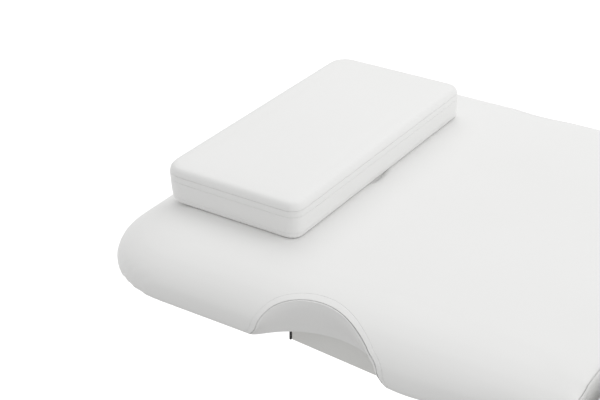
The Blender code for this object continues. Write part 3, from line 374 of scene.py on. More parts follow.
# Control box: a two-part moulded case with a ribbed lid, held by four screws, in the corner of the base.
# The mains inlet in its end is a grey moulding with three flat steel blades.
grey_plastic, feed, place = new_finish("grey_moulded_plastic")
grain = place.mottle(1700.0, 3.0, 0.6)
patches = place.mottle(14.0, 2.0)
feed("Base Color", patches.between((0.285, 0.295, 0.315, 1), (0.33, 0.34, 0.355, 1)))
feed("Roughness", 0.40 + grain * 0.12)
feed("Normal", grain.relief(0.28, 0.0003))

paint(black_plastic, "control_box")
paint(grey_plastic, "mains_inlet")
RIBS, RIB_PITCH, RIB_WIDE, RIB_DEEP, RIB_HIGH, RIB_EDGE = 7, 0.0126, 0.0050, 0.0010, 0.0018, 0.0009
RIB_FROM_END, RIB_FROM_SIDE, SCREW_INSET = 0.032, 0.028, 0.013
low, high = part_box("control_box")
ribs = []
for step in range(RIBS):
    x = low.x + RIB_FROM_END + step * RIB_PITCH
    ribs.append(block("lid_rib", (x, low.y + RIB_FROM_SIDE, high.z - RIB_DEEP),
                      (x + RIB_WIDE, high.y - RIB_FROM_SIDE, high.z + RIB_HIGH), RIB_EDGE))
dress(as_one("control_box_lid_ribs", ribs), black_plastic, "base")


def cut_away(piece, cutter, keep="DIFFERENCE"):
    """Cuts a piece with a cutter, which is then thrown away."""
    modify(piece, "BOOLEAN", operation=keep, solver="EXACT", object=cutter)
    bpy.data.objects.remove(cutter)
    return piece


def screw(name, spot, axis, body, radius=0.0036):
    """A pan-head screw with a hexagon socket."""
    head = turned(name, [(radius, 0.0), (radius, radius * 0.28), (radius * 0.93, radius * 0.48),
                         (radius * 0.72, radius * 0.62)], (0, 0, 0), sides=28)
    socket = turned("socket", [(radius * 0.40, radius * 0.22), (radius * 0.40, radius * 1.2)], (0, 0, 0),
                    sides=6)
    cut_away(head, socket)
    head.rotation_euler = Vector((0, 0, 1)).rotation_difference(Vector(axis)).to_euler()
    head.location = spot
    return dress(settle(head), bright_steel, body, 30)


for number, (x, y) in enumerate([(x, y) for x in (low.x + SCREW_INSET, high.x - SCREW_INSET)
                                 for y in (low.y + SCREW_INSET, high.y - SCREW_INSET)]):
    screw(f"control_box_screw_{number + 1}", (x, y, high.z), (0, 0, 1), "base")

BLADE_HALF_THICK, BLADE_HALF_WIDE, BLADE_EDGE = 0.001, 0.0022, 0.0005
low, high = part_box("mains_inlet")
middle = (low + high) / 2
blades = [block("blade",
                (low.x + 0.0015, middle.y + y - BLADE_HALF_THICK, middle.z + z - BLADE_HALF_WIDE),
                (high.x - 0.0045, middle.y + y + BLADE_HALF_THICK, middle.z + z + BLADE_HALF_WIDE),
                BLADE_EDGE)
          for y, z in ((-0.0065, -0.0016), (0.0, 0.0022), (0.0065, -0.0016))]
dress(as_one("mains_inlet_blades", blades), bright_steel, "base")

# Lift arms: two pairs of flat steel bars with round ends, each pair tied by a welded tube.
# Nylon washers keep the bars off the rails.
WASHER_RING, WASHER_GAP = 0.0110, 0.0003
TIE_WELD_RADIUS, TIE_WELD_ROUND, TIE_WELD_RIPPLE = 0.0205, 0.0021, 0.0005


def nylon_washer(name, spot, side, body):
    """A flat ring between an arm and a rail."""
    ring = turned(name, [(0.0215, 0.0), (0.0222, 0.0004), (0.0222, 0.0020), (0.0215, 0.0024)], (0, 0, 0))
    bpy.ops.object.mode_set(mode="EDIT")
    pick(ring, "FACE", lambda middle, normal: abs(normal.z) > 0.99)
    bpy.ops.mesh.inset(thickness=WASHER_RING)
    bpy.ops.mesh.bridge_edge_loops()
    bpy.ops.object.mode_set(mode="OBJECT")
    ring.rotation_euler = (-pi / 2 * side, 0, 0)
    ring.location = spot
    return dress(settle(ring), black_plastic, body)


joint_spot = {joint["name"]: Vector(joint["pos_m"]) for joint in frame["joints"]}
arm_pitch = joint_spot["front_arms_swing"] - joint_spot["lift"]
for pair, body, foot in (("rear", "rear_arms", joint_spot["lift"]),
                         ("front", "front_arms", joint_spot["front_arms_swing"])):
    paint(powder_coat, f"{pair}_arm_left", f"{pair}_arm_right", f"{pair}_arm_tie")
    top = joint_spot["upper_frame_level"] + (arm_pitch if pair == "front" else Vector())
    tie_low, tie_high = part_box("rear_arm_tie")
    tie = (tie_low + tie_high) / 2 + (arm_pitch if pair == "front" else Vector())
    rings = []
    for label, side in (("left", 1), ("right", -1)):
        arm_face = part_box(f"{pair}_arm_left")[1].y * side
        for end, spot in (("lower", foot), ("upper", top)):
            nylon_washer(f"{pair}_arm_washer_{end}_{label}", (spot.x, arm_face + side * WASHER_GAP, spot.z),
                         side, body)
        start_clean()
        bpy.ops.mesh.primitive_torus_add(major_radius=TIE_WELD_RADIUS, minor_radius=TIE_WELD_ROUND,
                                         major_segments=72, minor_segments=8, rotation=(pi / 2, 0, 0),
                                         location=(tie.x, tie_high.y * side, tie.z))
        ring = settle(bpy.context.object)
        bpy.ops.object.mode_set(mode="EDIT")
        pick(ring, "FACE", lambda middle, normal:
             round(atan2(middle.z - tie.z, middle.x - tie.x) * 36 / pi) % 3 == 0)
        bpy.ops.transform.shrink_fatten(value=TIE_WELD_RIPPLE)
        bpy.ops.object.mode_set(mode="OBJECT")
        rings.append(ring)
    dress(as_one(f"{pair}_arm_welds", rings), powder_coat, body, 60)

# Upper frame: box-tube rails, cross tubes and the actuator beam, welded and coated like the base.
# Side plates of flat steel are screwed to the ends of the cross tubes and carry the hinge pins.
BEAM_HALF, BEAM_BEAD_OUT = 0.020, 0.0008
PLATE_SCREW_STEP, PLATE_SCREW_UP, PLATE_SCREW_RADIUS = 0.011, 0.015, 0.0058
paint(powder_coat, "upper_rail_left", "upper_rail_right", "upper_cross_head", "upper_cross_foot",
      "actuator_beam", "side_plate_left", "side_plate_right")
paint(bright_steel, "upper_shaft_front", "upper_shaft_rear", "back_hinge_pin_left", "back_hinge_pin_right",
      "leg_hinge_pin_left", "leg_hinge_pin_right")
for rail in ("upper_rail_left", "upper_rail_right"):
    rail_plugs(rail, "upper_frame")
for shaft in ("upper_shaft_front", "upper_shaft_rear"):
    shaft_caps(shaft, "upper_frame")
crossing_beads = []
for cross in ("upper_cross_head", "upper_cross_foot"):
    low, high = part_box(cross)
    for rail in ("upper_rail_left", "upper_rail_right"):
        rail_low, rail_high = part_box(rail)
        crossing_beads += [weld_bead((x, rail_low.y + 0.003, low.z), (x, rail_high.y - 0.003, low.z))
                           for x in (low.x + BEAD_SUNK, high.x - BEAD_SUNK)]
low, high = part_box("upper_rail_left")
beam_x = joint_spot["leg_actuator_tilt"].x
crossing_beads += [weld_bead((beam_x + x, y, high.z - 0.036), (beam_x + x, y, high.z - 0.003))
                   for x in (-BEAM_HALF, BEAM_HALF) for y in (low.y - BEAM_BEAD_OUT, -low.y + BEAM_BEAD_OUT)]
dress(as_one("upper_frame_welds", crossing_beads), powder_coat, "upper_frame", 60)
for label, side in (("left", 1), ("right", -1)):
    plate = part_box(f"side_plate_{label}")[1 if side > 0 else 0].y
    for cross in ("head", "foot"):
        low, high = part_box(f"upper_cross_{cross}")
        for number, step in enumerate((-PLATE_SCREW_STEP, PLATE_SCREW_STEP)):
            screw(f"side_plate_screw_{cross}_{number + 1}_{label}",
                  ((low.x + high.x) / 2 + step, plate, low.z + PLATE_SCREW_UP), (0, side, 0), "upper_frame",
                  PLATE_SCREW_RADIUS)

# Section boards: birch plywood, sawn to shape and sanded, with its plies showing at the edges.
# Each lies flush in the underside of its cushion, and the cover is pulled round it and stapled.
plywood, feed, place = new_finish("birch_plywood")
layers = place.node("ShaderNodeSeparateXYZ", {0: place}, 2) * 4700.0
plies = layers.sum("SINE", layers, 0.0)
figure = place.stretched((2.2, 34.0, 2.2)).mottle(3.0, 5.0, 0.62)
pores = place.stretched((18.0, 900.0, 18.0)).mottle(1.0, 2.0)
veneer = figure.between((0.66, 0.50, 0.32, 1), (0.50, 0.345, 0.195, 1))
feed("Base Color", plies.clear(0.2, 0.5).between(veneer, (0.56, 0.40, 0.24, 1)))
feed("Roughness", 0.58 + pores * 0.18)
feed("Normal", (figure * 0.4 + pores * 0.6).relief(0.25, 0.0003))

PAD_FOOT, BOARD_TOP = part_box("seat_board")[0].z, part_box("seat_board")[1].z
PAD_TOP, PAD_SIDE = 0.620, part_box("seat_cushion")[1].y
CORNER = 0.135        # radius of the head and foot corners, seen from above
COVER_TURN = 0.026    # width of cover turned under the board's edge
NOTCH_X, NOTCH_Y, NOTCH_RADIUS = -0.534, 0.446, 0.120
HOLE_X, HOLE_Y = -0.7545, -0.010
HOLE_LONG, HOLE_WIDE, HOLE_CORNER = 0.191, 0.090, 0.044


def upright(name, low, high, corner, at_ends):
    """An upright block whose corners at the given ends are rounded, seen from above."""
    start_clean()
    low, high = Vector(low), Vector(high)
    bpy.ops.mesh.primitive_cube_add(size=1, location=(low + high) / 2, scale=high - low)
    piece = settle(bpy.context.object)
    piece.name = name
    if at_ends:
        bpy.ops.object.mode_set(mode="EDIT")
        pick(piece, "EDGE", lambda spot, along: abs(along.z) > 0.9
             and any(abs(spot.x - x) < 1e-4 for x in at_ends))
        bpy.ops.mesh.bevel(offset=corner, segments=14, profile=0.5, affect="EDGES")
        bpy.ops.object.mode_set(mode="OBJECT")
    return piece


def hole_cutter(grow=0.0):
    """A tall cutter with the outline of the face hole, made larger by grow."""
    long, wide = HOLE_LONG / 2 + grow, HOLE_WIDE / 2 + grow
    return upright("hole_cutter", (HOLE_X - long, HOLE_Y - wide, PAD_FOOT - 0.1),
                   (HOLE_X + long, HOLE_Y + wide, PAD_TOP + 0.1), HOLE_CORNER + grow,
                   (HOLE_X - long, HOLE_X + long))


def board_shape(section, rounded, grow=0.0, below=0.0):
    """The outline of a section's board, made larger by grow and carried on below."""
    low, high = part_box(f"{section}_board")
    inset = COVER_TURN - grow
    low, high = low + Vector((inset, inset, -below)), high - Vector((inset, inset, -grow))
    ends = [x for x, is_round in zip((low.x, high.x), rounded) if is_round]
    piece = upright(f"{section}_plywood", low, high, CORNER - inset, ends)
    if section == "back":
        for side in (1, -1):
            start_clean()
            bpy.ops.mesh.primitive_cylinder_add(vertices=96, radius=NOTCH_RADIUS + inset, depth=0.4,
                                                location=(NOTCH_X, NOTCH_Y * side, PAD_FOOT))
            cut_away(piece, settle(bpy.context.object))
        cut_away(piece, hole_cutter(inset))
    return piece


ROUNDED = {"seat": (False, False), "back": (True, False), "leg": (False, True)}
SECTION_BODY = {"seat": "upper_frame", "back": "back", "leg": "leg"}
for section, rounded in ROUNDED.items():
    plank = dress(board_shape(section, rounded), plywood, SECTION_BODY[section])
    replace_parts(plank, f"{section}_board")

# Seat cushion: moulded foam under a white coated-fabric cover that rolls over the long sides and both ends.
# The foam swells the cover evenly, and the cover is drawn in where it meets the board.
leatherette, feed, place = new_finish("white_coated_fabric", ior=1.46)
pebbles = place.node("ShaderNodeTexVoronoi", {"Vector": place, "Scale": 760.0, "Smoothness": 0.7},
                     feature="SMOOTH_F1")
creases = place.mottle(2300.0, 3.0, 0.6)
drifts = place.mottle(5.0, 2.0)
feed("Base Color", drifts.between((0.845, 0.845, 0.835, 1), (0.872, 0.872, 0.866, 1)))
feed("Roughness", 0.44 + drifts * 0.06 + pebbles * 0.08)
feed("Normal", (pebbles * 0.7 + creases * 0.3).relief(0.10, 0.00025))

ROLL_WIDE, ROLL_DEEP, TUCK_WIDE = 0.100, 0.045, 0.012
SEAT_ROLL_WIDE, SEAT_ROLL_DEEP = 0.040, 0.036
PAD_VOXEL = 0.008
SWELL, LEAST_RISE, PRESSURE, SWELL_STEPS = 0.0022, 0.6, 4.0, 20
BOARD_GAP, BOARD_CUT = 0.0003, 0.03


def foam_pad(section):
    """A padded slab: the top rolls over its sides and its rounded ends, and the cover tucks under them."""
    ends = [corner.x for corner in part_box(f"{section}_cushion")]
    rounded = ROUNDED[section]
    squeeze = ROLL_DEEP / ROLL_WIDE
    height = (PAD_TOP - PAD_FOOT) / squeeze
    pad = upright(f"{section}_pad", (ends[0], -PAD_SIDE, -height / 2), (ends[1], PAD_SIDE, height / 2),
                  CORNER, [x for x, is_round in zip(ends, rounded) if is_round])
    square_ends = [x for x, is_round in zip(ends, rounded) if not is_round]
    bpy.ops.object.mode_set(mode="EDIT")
    for level, width, steps in ((height / 2, ROLL_WIDE, 16), (-height / 2, TUCK_WIDE, 5)):
        pick(pad, "EDGE", lambda spot, along: abs(spot.z - level) < 1e-4
             and not any(abs(spot.x - x) < 1e-4 for x in square_ends))
        bpy.ops.mesh.bevel(offset=width, segments=steps, profile=0.5, affect="EDGES")
    bpy.ops.object.mode_set(mode="OBJECT")
    pad.scale.z = squeeze
    pad.location.z = (PAD_TOP + PAD_FOOT) / 2
    settle(pad)
    return modify(pad, "REMESH", mode="VOXEL", voxel_size=PAD_VOXEL)


def spots_of(piece):
    """The places of a piece's points, as rows of numbers."""
    spots = np.empty(len(piece.data.vertices) * 3)
    piece.data.vertices.foreach_get("co", spots)
    return spots.reshape(-1, 3)


def move_to(piece, spots):
    """Puts a piece's points at the given places."""
    piece.data.vertices.foreach_set("co", np.ascontiguousarray(spots).ravel())
    piece.data.update()


def normals_of(piece):
    """The outward direction at each of a piece's points."""
    normals = np.empty(len(piece.data.vertices) * 3)
    piece.data.vertex_normals.foreach_get("vector", normals)
    return normals.reshape(-1, 3)


def stuffed(pad, held, swell=SWELL):
    """Swells a pad as cloth under pressure, from a slightly smaller shape. Held points stay put, and the
    others rise along their normals, each between the least and the most that the foam allows."""
    rest, outward = spots_of(pad), normals_of(pad)
    most = swell * (1 - held)
    small = rest - outward * most[:, None]
    move_to(pad, small)
    rise = most
    grip = pad.vertex_groups.new(name="held")
    for index in np.flatnonzero(held > 0.01):
        grip.add([int(index)], float(held[index]), "REPLACE")
    take(pad)
    cover = pad.modifiers.new("cover", "CLOTH")
    cover.settings.quality = 4
    cover.settings.mass = 0.35
    cover.settings.use_pressure = True
    cover.settings.uniform_pressure_force = PRESSURE
    cover.settings.effector_weights.gravity = 0
    cover.settings.vertex_group_mass = "held"
    cover.point_cache.frame_start = 1
    cover.point_cache.frame_end = SWELL_STEPS
    for step in range(1, SWELL_STEPS + 1):
        bpy.context.scene.frame_set(step)
    bpy.ops.object.modifier_apply(modifier="cover")
    bpy.context.scene.frame_set(1)
    rise = np.clip(((spots_of(pad) - small) * outward).sum(axis=1), LEAST_RISE * most, most)
    move_to(pad, small + outward * rise[:, None])
    modify(pad, "SMOOTH", factor=0.5, iterations=4)
    modify(pad, "SUBSURF", levels=1, render_levels=1)
    return pad


def at_foot(spots):
    """How firmly each point is held: fully where the cover meets the board, and free above."""
    return np.clip((BOARD_TOP - spots[:, 2]) / 0.010, 0, 1)


def roll_end(pad, end, out, wide, deep):
    """Rounds the top of a square end over a width and a depth."""
    spots = spots_of(pad)
    past = np.clip((out * (spots[:, 0] - end) + wide) / wide, 0, 1)
    top = np.clip((spots[:, 2] - PAD_FOOT) / (PAD_TOP - PAD_FOOT), 0, 1)
    spots[:, 2] -= deep * (1 - np.sqrt(np.clip(1 - past ** 2, 0, 1))) * top ** 2
    move_to(pad, spots)


def upholster(pad, section):
    """Ends a cushion: cuts the seat for its board, and puts it in the place of its node."""
    cut_away(pad, board_shape(section, ROUNDED[section], BOARD_GAP, BOARD_CUT))
    dress(pad, leatherette, SECTION_BODY[section], 40)
    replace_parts(pad, f"{section}_cushion")


low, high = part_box("seat_cushion")
seat_pad = foam_pad("seat")
for end, out in ((low.x, -1), (high.x, 1)):
    roll_end(seat_pad, end, out, SEAT_ROLL_WIDE, SEAT_ROLL_DEEP)
upholster(stuffed(seat_pad, at_foot(spots_of(seat_pad))), "seat")

# Back section frame: two tapered box arms with black end caps, an ear on each for the hinge pin, and a
# cross tube with the slotted lugs that the actuator pushes. All is welded and powder coated.
paint(powder_coat, "back_arm_left", "back_arm_right", "back_cross")
paint(black_plastic, "back_arm_cap_left", "back_arm_cap_right")
CROSS_FROM_HINGE, CROSS_HALF = 0.0975, 0.018


def section_welds(section):
    """Upright beads where a section's cross tube meets its arms."""
    out = -1 if section == "back" else 1
    middle = joint_spot[section].x + out * CROSS_FROM_HINGE
    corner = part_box(f"{section}_cross")[1]
    beads = [weld_bead((middle + x, y, corner.z - 0.029), (middle + x, y, corner.z - 0.003))
             for x in (-CROSS_HALF, CROSS_HALF) for y in (corner.y, -corner.y)]
    dress(as_one(f"{section}_welds", beads), powder_coat, section, 60)


section_welds("back")

# Back cushion: moulded foam under the same cover, with a half-round notch in each side for the arms and a
# face hole. A sewn band edges each notch, a lining covers its wall, and a flat panel closes the foot end.
PANEL, PANEL_GAP, PANEL_EDGE = 0.0016, 0.0010, 0.0005
BAND, STITCH_LINE = 0.0088, 0.00035
SEAM, LINING, LINING_SUNK, LINING_EDGE = 0.0009, 0.0015, 0.0004, 0.0005
RIM_WIDE, RIM_DEEP = 0.011, 0.004
SIDE_TOP, NOTCH_FOOT_SIDE = 0.600, -0.405
END_ROLL_WIDE, END_ROLL_DEEP, END_LEAN = 0.024, 0.0075, 0.0030
SIDE_BULGE, SIDE_BULGE_AT_NOTCH, SIDE_SAG, HEAD_BULGE = 0.0050, 0.0045, 0.0020, 0.0060
low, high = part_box("back_cushion")
back_pad = foam_pad("back")
roll_end(back_pad, high.x, 1, END_ROLL_WIDE, END_ROLL_DEEP)
spots = spots_of(back_pad)
foot_end = np.clip((spots[:, 0] - high.x) / 0.020 + 1, 0, 1)
spots[:, 0] += END_LEAN * foot_end * np.clip((PAD_TOP - spots[:, 2]) / (PAD_TOP - PAD_FOOT), 0, 1)
fade = np.clip((-0.280 - spots[:, 0]) / 0.050, 0, 1)
low_down = np.clip((SIDE_TOP - spots[:, 2]) / 0.030, 0, 1) * fade
beside_notch = np.exp(-((spots[:, 0] - NOTCH_FOOT_SIDE) / 0.045) ** 2)
outer = np.clip((np.abs(spots[:, 1]) - 0.300) / 0.060, 0, 1)
spots[:, 1] += np.sign(spots[:, 1]) * outer * low_down * (SIDE_BULGE + SIDE_BULGE_AT_NOTCH * beside_notch)
spots[:, 2] -= outer * low_down * SIDE_SAG * beside_notch
spots[:, 0] -= np.clip((-0.850 - spots[:, 0]) / 0.060, 0, 1) * low_down * HEAD_BULGE
move_to(back_pad, spots)
stuffed(back_pad, at_foot(spots_of(back_pad)))
spots = spots_of(back_pad)
corner_x = np.abs(spots[:, 0] - HOLE_X) - HOLE_LONG / 2 + HOLE_CORNER
corner_y = np.abs(spots[:, 1] - HOLE_Y) - HOLE_WIDE / 2 + HOLE_CORNER
from_hole = np.hypot(np.maximum(corner_x, 0), np.maximum(corner_y, 0)) - HOLE_CORNER
turn_in = np.clip(1 - from_hole / RIM_WIDE, 0, 1)
spots[:, 2] -= np.where(spots[:, 2] > SIDE_TOP, RIM_DEEP * (1 - np.sqrt(1 - turn_in ** 2)), 0)
move_to(back_pad, spots)

NOTCH_POINTS = 99
NOTCH_FROM, NOTCH_SWEEP = 188, 196
CUT_LEVELS = np.array((0.0, 0.0, 0.35, 0.70, 1.0, 1.0))
CUT_BULGE = np.array((0.0, 0.0, 0.55, 0.90, 1.0, 1.0))


def notch_cutter(side, grow=0.0):
    """A cutter for a notch: round at the board, and drawn in higher up, where the foam bulges over it."""
    start_clean()
    bpy.ops.mesh.primitive_circle_add(vertices=NOTCH_POINTS, radius=1, fill_type="NGON")
    plug = bpy.context.object
    bpy.ops.object.mode_set(mode="EDIT")
    bpy.ops.mesh.select_all(action="SELECT")
    for level in range(len(CUT_LEVELS) - 1):
        bpy.ops.mesh.extrude_region_move(TRANSFORM_OT_translate={"value": (0, 0, 1)})
    bpy.ops.object.mode_set(mode="OBJECT")
    spots = spots_of(plug)
    share = np.mod(np.arctan2(spots[:, 1], spots[:, 0]) + 1e-6, 2 * pi) / (2 * pi)
    level = np.rint(spots[:, 2]).astype(int)
    bearing = NOTCH_FROM - NOTCH_SWEEP * share * NOTCH_POINTS / (NOTCH_POINTS - 1)
    turn = np.radians(bearing)
    bulge = (0.0060 + 0.0173 * np.exp(-((bearing - 60) / 40) ** 2)) * np.clip((bearing - 2) / 40, 0, 1)
    bulge += 0.0040 * np.exp(-((bearing - 147) / 10) ** 2)
    grow = grow * (0.50 + 0.70 * np.exp(-((bearing - 105) / 45) ** 2))
    reach = NOTCH_RADIUS + grow - bulge * CUT_BULGE[level]
    inside = PAD_SIDE - NOTCH_Y + (NOTCH_RADIUS - bulge) * np.sin(turn)
    roll = np.sqrt(1 - (1 - np.clip(inside / ROLL_WIDE, 0, 1)) ** 2)
    rim = PAD_TOP - ROLL_DEEP + ROLL_DEEP * roll - 0.002
    foot = PAD_FOOT + 0.004
    heights = foot + (rim - foot) * CUT_LEVELS[level]
    heights[level == 0] = PAD_FOOT - 0.07
    heights[level == len(CUT_LEVELS) - 1] = PAD_TOP + 0.10
    move_to(plug, np.stack((NOTCH_X + reach * np.cos(turn), side * (NOTCH_Y - reach * np.sin(turn)),
                            heights), 1))
    bpy.ops.object.mode_set(mode="EDIT")
    bpy.ops.mesh.select_all(action="SELECT")
    bpy.ops.mesh.normals_make_consistent(inside=False)
    bpy.ops.object.mode_set(mode="OBJECT")
    return plug


def slab_cutter(x_low, x_high):
    """A cutter for a slice across a cushion."""
    return upright("slab_cutter", (x_low, -0.6, PAD_FOOT - 0.1), (x_high, 0.6, PAD_TOP + 0.1), 0, ())


def sewn_strip(name, pad, within, body, without=None, proud=0.0, edge=0.0008):
    """A strip of the cover taken from a pad's own shape, between two cutters, with soft edges."""
    strip = cut_away(copy_of(pad, name), within, "INTERSECT")
    if without:
        cut_away(strip, without)
    take(strip)
    bpy.ops.object.mode_set(mode="EDIT")
    bpy.ops.mesh.select_all(action="SELECT")
    bpy.ops.mesh.remove_doubles(threshold=0.0002)
    if proud:
        bpy.ops.transform.shrink_fatten(value=proud)
    bpy.ops.object.mode_set(mode="OBJECT")
    modify(strip, "BEVEL", width=edge, segments=2, limit_method="ANGLE", angle_limit=radians(50))
    return dress(strip, leatherette, body, 40)


whole = copy_of(back_pad, "back_whole")
for label, side in (("left", 1), ("right", -1)):
    sewn_strip(f"back_notch_band_{label}", whole, notch_cutter(side, BAND), "back", notch_cutter(side))
    sewn_strip(f"back_notch_lining_{label}", whole, notch_cutter(side, -SEAM), "back",
               notch_cutter(side, -SEAM - LINING), -LINING_SUNK, LINING_EDGE)
    cut_away(back_pad, notch_cutter(side, BAND + STITCH_LINE))
cut_away(back_pad, hole_cutter())
sewn_strip("back_end_panel", whole, slab_cutter(high.x - PANEL, high.x + 0.02), "back", edge=PANEL_EDGE)
cut_away(back_pad, slab_cutter(high.x - PANEL - PANEL_GAP, high.x + 0.02))
bpy.data.objects.remove(whole)
upholster(back_pad, "back")

# Leg section: the same tapered arms and cross tube, under a foam cushion with rounded foot corners.
# Its head end is closed by a sewn panel.
paint(powder_coat, "leg_arm_left", "leg_arm_right", "leg_cross")
section_welds("leg")
low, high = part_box("leg_cushion")
leg_pad = foam_pad("leg")
roll_end(leg_pad, low.x, -1, END_ROLL_WIDE, END_ROLL_DEEP)
stuffed(leg_pad, at_foot(spots_of(leg_pad)))
sewn_strip("leg_end_panel", leg_pad, slab_cutter(low.x - 0.02, low.x + PANEL), "leg", edge=PANEL_EDGE)
cut_away(leg_pad, slab_cutter(low.x - 0.02, low.x + PANEL + PANEL_GAP))
upholster(leg_pad, "leg")

# Pillow: a loose box of foam in a sewn cover. The top panel is sewn to a side band by a flat double seam,
# just under the top edge, and the bottom panel by a plain one. The pillow lies on the back section.
PILLOW_HEAD_CORNER, PILLOW_FOOT_CORNER = 0.034, 0.021
PILLOW_TOP_EDGE, PILLOW_LOW_EDGE = 0.0125, 0.0045
PILLOW_VOXEL, PILLOW_SWELL, PILLOW_LEAN = 0.0045, 0.0015, 0.0050
SEAM_FROM_TOP, SEAM_BAND = 0.0123, 0.0095
CORE_HEAD, CORE_SIDE, CORE_CORNER = 0.009, 0.004, 0.026
low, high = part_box("pillow")
pillow = upright("pillow_cover", low, high, PILLOW_HEAD_CORNER, (low.x,))
bpy.ops.object.mode_set(mode="EDIT")
pick(pillow, "EDGE", lambda spot, along: abs(along.z) > 0.9 and abs(spot.x - high.x) < 1e-4)
bpy.ops.mesh.bevel(offset=PILLOW_FOOT_CORNER, segments=12, profile=0.5, affect="EDGES")
for level, width, steps in ((high.z, PILLOW_TOP_EDGE, 8), (low.z, PILLOW_LOW_EDGE, 3)):
    pick(pillow, "EDGE", lambda spot, along: abs(spot.z - level) < 1e-4)
    bpy.ops.mesh.bevel(offset=width, segments=steps, profile=0.5, affect="EDGES")
bpy.ops.object.mode_set(mode="OBJECT")
modify(pillow, "REMESH", mode="VOXEL", voxel_size=PILLOW_VOXEL)
spots = spots_of(pillow)
down = np.clip((high.z - spots[:, 2]) / (high.z - low.z), 0, 1)
middle = (low + high) / 2
spots[:, 0] += PILLOW_LEAN * down ** 2 * np.clip((middle.x - spots[:, 0]) / (middle.x - low.x), 0, 1)
move_to(pillow, spots)
seam_level = high.z - SEAM_FROM_TOP
held = np.clip(1 - np.abs(spots[:, 2] - seam_level) / 0.004, 0, 1)
held = np.maximum(held, np.clip((low.z + 0.002 - spots[:, 2]) / 0.001, 0, 1))
stuffed(pillow, held, PILLOW_SWELL)
core_low, core_high = low + Vector((CORE_HEAD, CORE_SIDE, 0)), high - Vector((CORE_SIDE, CORE_SIDE, 0))
for level, gap in ((seam_level, 0.0004), (seam_level - SEAM_BAND, 0.00025), (low.z + SEAM_BAND, 0.0002)):
    groove = upright("groove", (low.x - 0.02, low.y - 0.02, level - gap / 2),
                     (high.x + 0.02, high.y + 0.02, level + gap / 2), 0, ())
    core = upright("core", (core_low.x, core_low.y, level - 0.01), (core_high.x, core_high.y, level + 0.01),
                   CORE_CORNER, (core_low.x, core_high.x))
    cut_away(groove, core)
    cut_away(pillow, groove)
dress(pillow, leatherette, "pillow", 40)
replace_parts(pillow, "pillow")

# Linear actuators: a die-cast gearbox with a tail eye, a round motor beside the spindle, and an extruded
# outer tube, from which the plated rod runs. Pins hold them in their lugs.
cast_alloy, feed, place = new_finish("cast_alloy", metallic=1.0)
grain = place.mottle(1400.0, 3.0, 0.6)
clouds = place.mottle(24.0, 3.0)
feed("Base Color", clouds.between((0.38, 0.39, 0.40, 1), (0.47, 0.475, 0.48, 1)))
feed("Roughness", 0.46 + grain * 0.12)
feed("Normal", grain.relief(0.35, 0.0004))

joint_way = {joint["name"]: Vector(joint["axis"]) for joint in frame["joints"]}
for label, short, motor_side, stroke in (("lift", 0.050, 1, 0.1474), ("back", 0.032, 1, 0.1319),
                                         ("leg", 0.032, -1, 0.0707)):
    tail = joint_spot[f"{label}_actuator_tilt"]
    way = joint_way[f"{label}_actuator_stroke"]
    length = (joint_spot[f"{label}_actuator_stroke"] - tail).length
    slope = atan2(-way.z, way.x)
    tube_end = length - short
    bore_start = tube_end - stroke - 0.033
    gearbox = block("gearbox", (0.045, -0.0238, -0.0238), (0.115, 0.0238, 0.0238), 0.005, 3)
    motor_z = motor_side * 0.050
    foot = block("motor_foot", (0.052, -0.0200, min(0, motor_z)), (0.110, 0.0200, max(0, motor_z)),
                 0.004, 3)
    neck = block("neck", (0.004, -0.0113, -0.0113), (0.060, 0.0113, 0.0113), 0.002)
    eye = turned("eye", [(0.0148, -0.0119), (0.0158, -0.0108), (0.0158, 0.0108), (0.0148, 0.0119)],
                 (0, 0, 0), (0, 1, 0))
    pin = turned("pin", [(0.0052, -0.0298), (0.0059, -0.0290), (0.0059, 0.0290), (0.0052, 0.0298)],
                 (0, 0, 0), (0, 1, 0), 28)
    housing = as_one(f"{label}_actuator_housing", [gearbox, foot, neck, eye, pin])
    bore = turned("bore", [(0.0106, bore_start), (0.0106, tube_end + 0.02)], (0, 0, 0), (1, 0, 0))
    motor = turned(f"{label}_actuator_motor",
                   [(0.0180, 0.050), (0.0255, 0.0512), (0.0272, 0.0550), (0.0272, 0.0640),
                    (0.0296, 0.0652), (0.0298, 0.0670), (0.0298, 0.1530), (0.0288, 0.1545),
                    (0.0288, 0.1580), (0.0270, 0.1600), (0.0270, 0.1660), (0.0240, 0.1690),
                    (0.0120, 0.1694), (0.0100, 0.1699)],
                   (0, 0, motor_z), (1, 0, 0), 48)
    tube = turned(f"{label}_actuator_tube",
                  [(0.0184, 0.108), (0.0184, tube_end - 0.016), (0.0189, tube_end - 0.0155),
                   (0.0189, tube_end - 0.001), (0.0181, tube_end), (0.0118, tube_end),
                   (0.0104, tube_end - 0.0012), (0.0104, max(bore_start, 0.110))],
                  (0, 0, 0), (1, 0, 0), 48)
    cut_away(housing, bore)
    for piece, finish in ((housing, cast_alloy), (motor, black_plastic), (tube, cast_alloy)):
        piece.data.transform(Matrix.Translation(tail) @ Matrix.Rotation(slope, 4, "Y"))
        dress(piece, finish, f"{label}_drive")
    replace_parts(housing, f"{label}_actuator_drive")
    paint(bright_steel, f"{label}_actuator_rod")

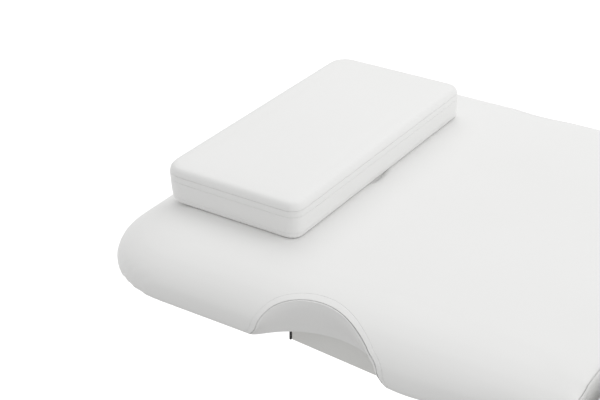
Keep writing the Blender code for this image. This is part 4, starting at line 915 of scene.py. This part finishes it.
# Handset: a grey two-part shell with six black push buttons in three rows, for the lift, the back and the
# legs. Each button has a raised white arrow, and the shell hangs in a black clip on the side plate.
white_ink, feed, place = new_finish("white_mark")
feed("Base Color", place.mottle(300.0).between((0.74, 0.74, 0.73, 1), (0.82, 0.82, 0.81, 1)))
feed("Roughness", 0.42 + place.mottle(900.0) * 0.10)
paint(grey_plastic, "handset")
paint(black_plastic, "handset_clip")
ARROW = [(0.0033, 0.0), (0.0033, 0.00018), (0.0029, 0.00034)]
for row in ("lift", "back", "leg"):
    for way, turn in (("up", 0), ("down", pi)):
        node = f"{row}_{way}_button"
        paint(black_plastic, node)
        low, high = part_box(node)
        arrow = turned(f"{node}_arrow", ARROW, (0, 0, 0), sides=3)
        arrow.rotation_euler = (pi / 2, turn, 0)
        arrow.location = ((low.x + high.x) / 2, low.y + 0.00005, (low.z + high.z) / 2)
        dress(settle(arrow), white_ink, node)

# Studio: a floor that glows, two large soft lights from above and behind, one from the foot side, and the
# camera at the photograph's viewing angle. The floor's glow is painted light: white behind the bed, and a
# dim grey painted shade in front of and under the bed, which darkens the bed's lower sides and paints a
# shadow on the floor there.
start_clean()
bpy.ops.mesh.primitive_plane_add(size=14, location=(0, 0, -0.0004))
floor = bpy.context.object
floor.name = "studio_floor"
settle(floor)
pale, feed, place = new_finish("floor_with_painted_glow", roughness=0.9, emission_strength=0.97)
behind = place.node("ShaderNodeVectorMath", {0: place, 1: (-0.54, 0.84, 0.0)}, "Value",
                    operation="DOT_PRODUCT")
feed("Base Color", place.mottle(0.6).between((0.29, 0.29, 0.29, 1), (0.31, 0.31, 0.31, 1)))
# Painted glow: the floor glows white behind the bed and only dim grey in front of and under it, a painted
# shade that darkens the bed's low sides and the floor there.
feed("Emission Color", behind.clear(0.45, 0.62).between((0.29, 0.29, 0.29, 1), (1.0, 1.0, 1.0, 1)))
floor.data.materials.append(pale)

LIGHT_SIZE = 2.4
for name, spot, aim, power in (("head_light", (-1.4, 1.2, 2.6), (-0.4, 0.0, 0.6), 13.0),
                               ("foot_light", (1.2, 0.9, 2.8), (-0.4, 0.0, 0.6), 13.0),
                               ("side_light", (4.5, 0.3, 1.7), (-0.6, 0.0, 0.6), 18.0)):
    start_clean()
    bpy.ops.object.light_add(type="AREA", location=spot)
    light = bpy.context.object
    light.name = name
    light.data.shape = "DISK"
    light.data.size = LIGHT_SIZE
    light.data.energy = power
    light.rotation_euler = (Vector(aim) - Vector(spot)).to_track_quat("-Z", "Y").to_euler()

sky = bpy.data.worlds.new("pale_studio")
sky.use_nodes = True
sky.node_tree.nodes["Background"].inputs["Color"].default_value = (1.0, 1.0, 1.0, 1)
sky.node_tree.nodes["Background"].inputs["Strength"].default_value = 0.72
bpy.context.scene.world = sky
bpy.context.scene.view_settings.view_transform = "Standard"

start_clean()
bpy.ops.object.camera_add(location=(0.2515, -1.6385, 1.5969), rotation=(radians(61.4), 0, radians(32.9)))
camera = bpy.context.object
camera.name = "photo_camera"
camera.data.lens = 83.46
camera.data.sensor_width = 36
bpy.context.scene.camera = camera
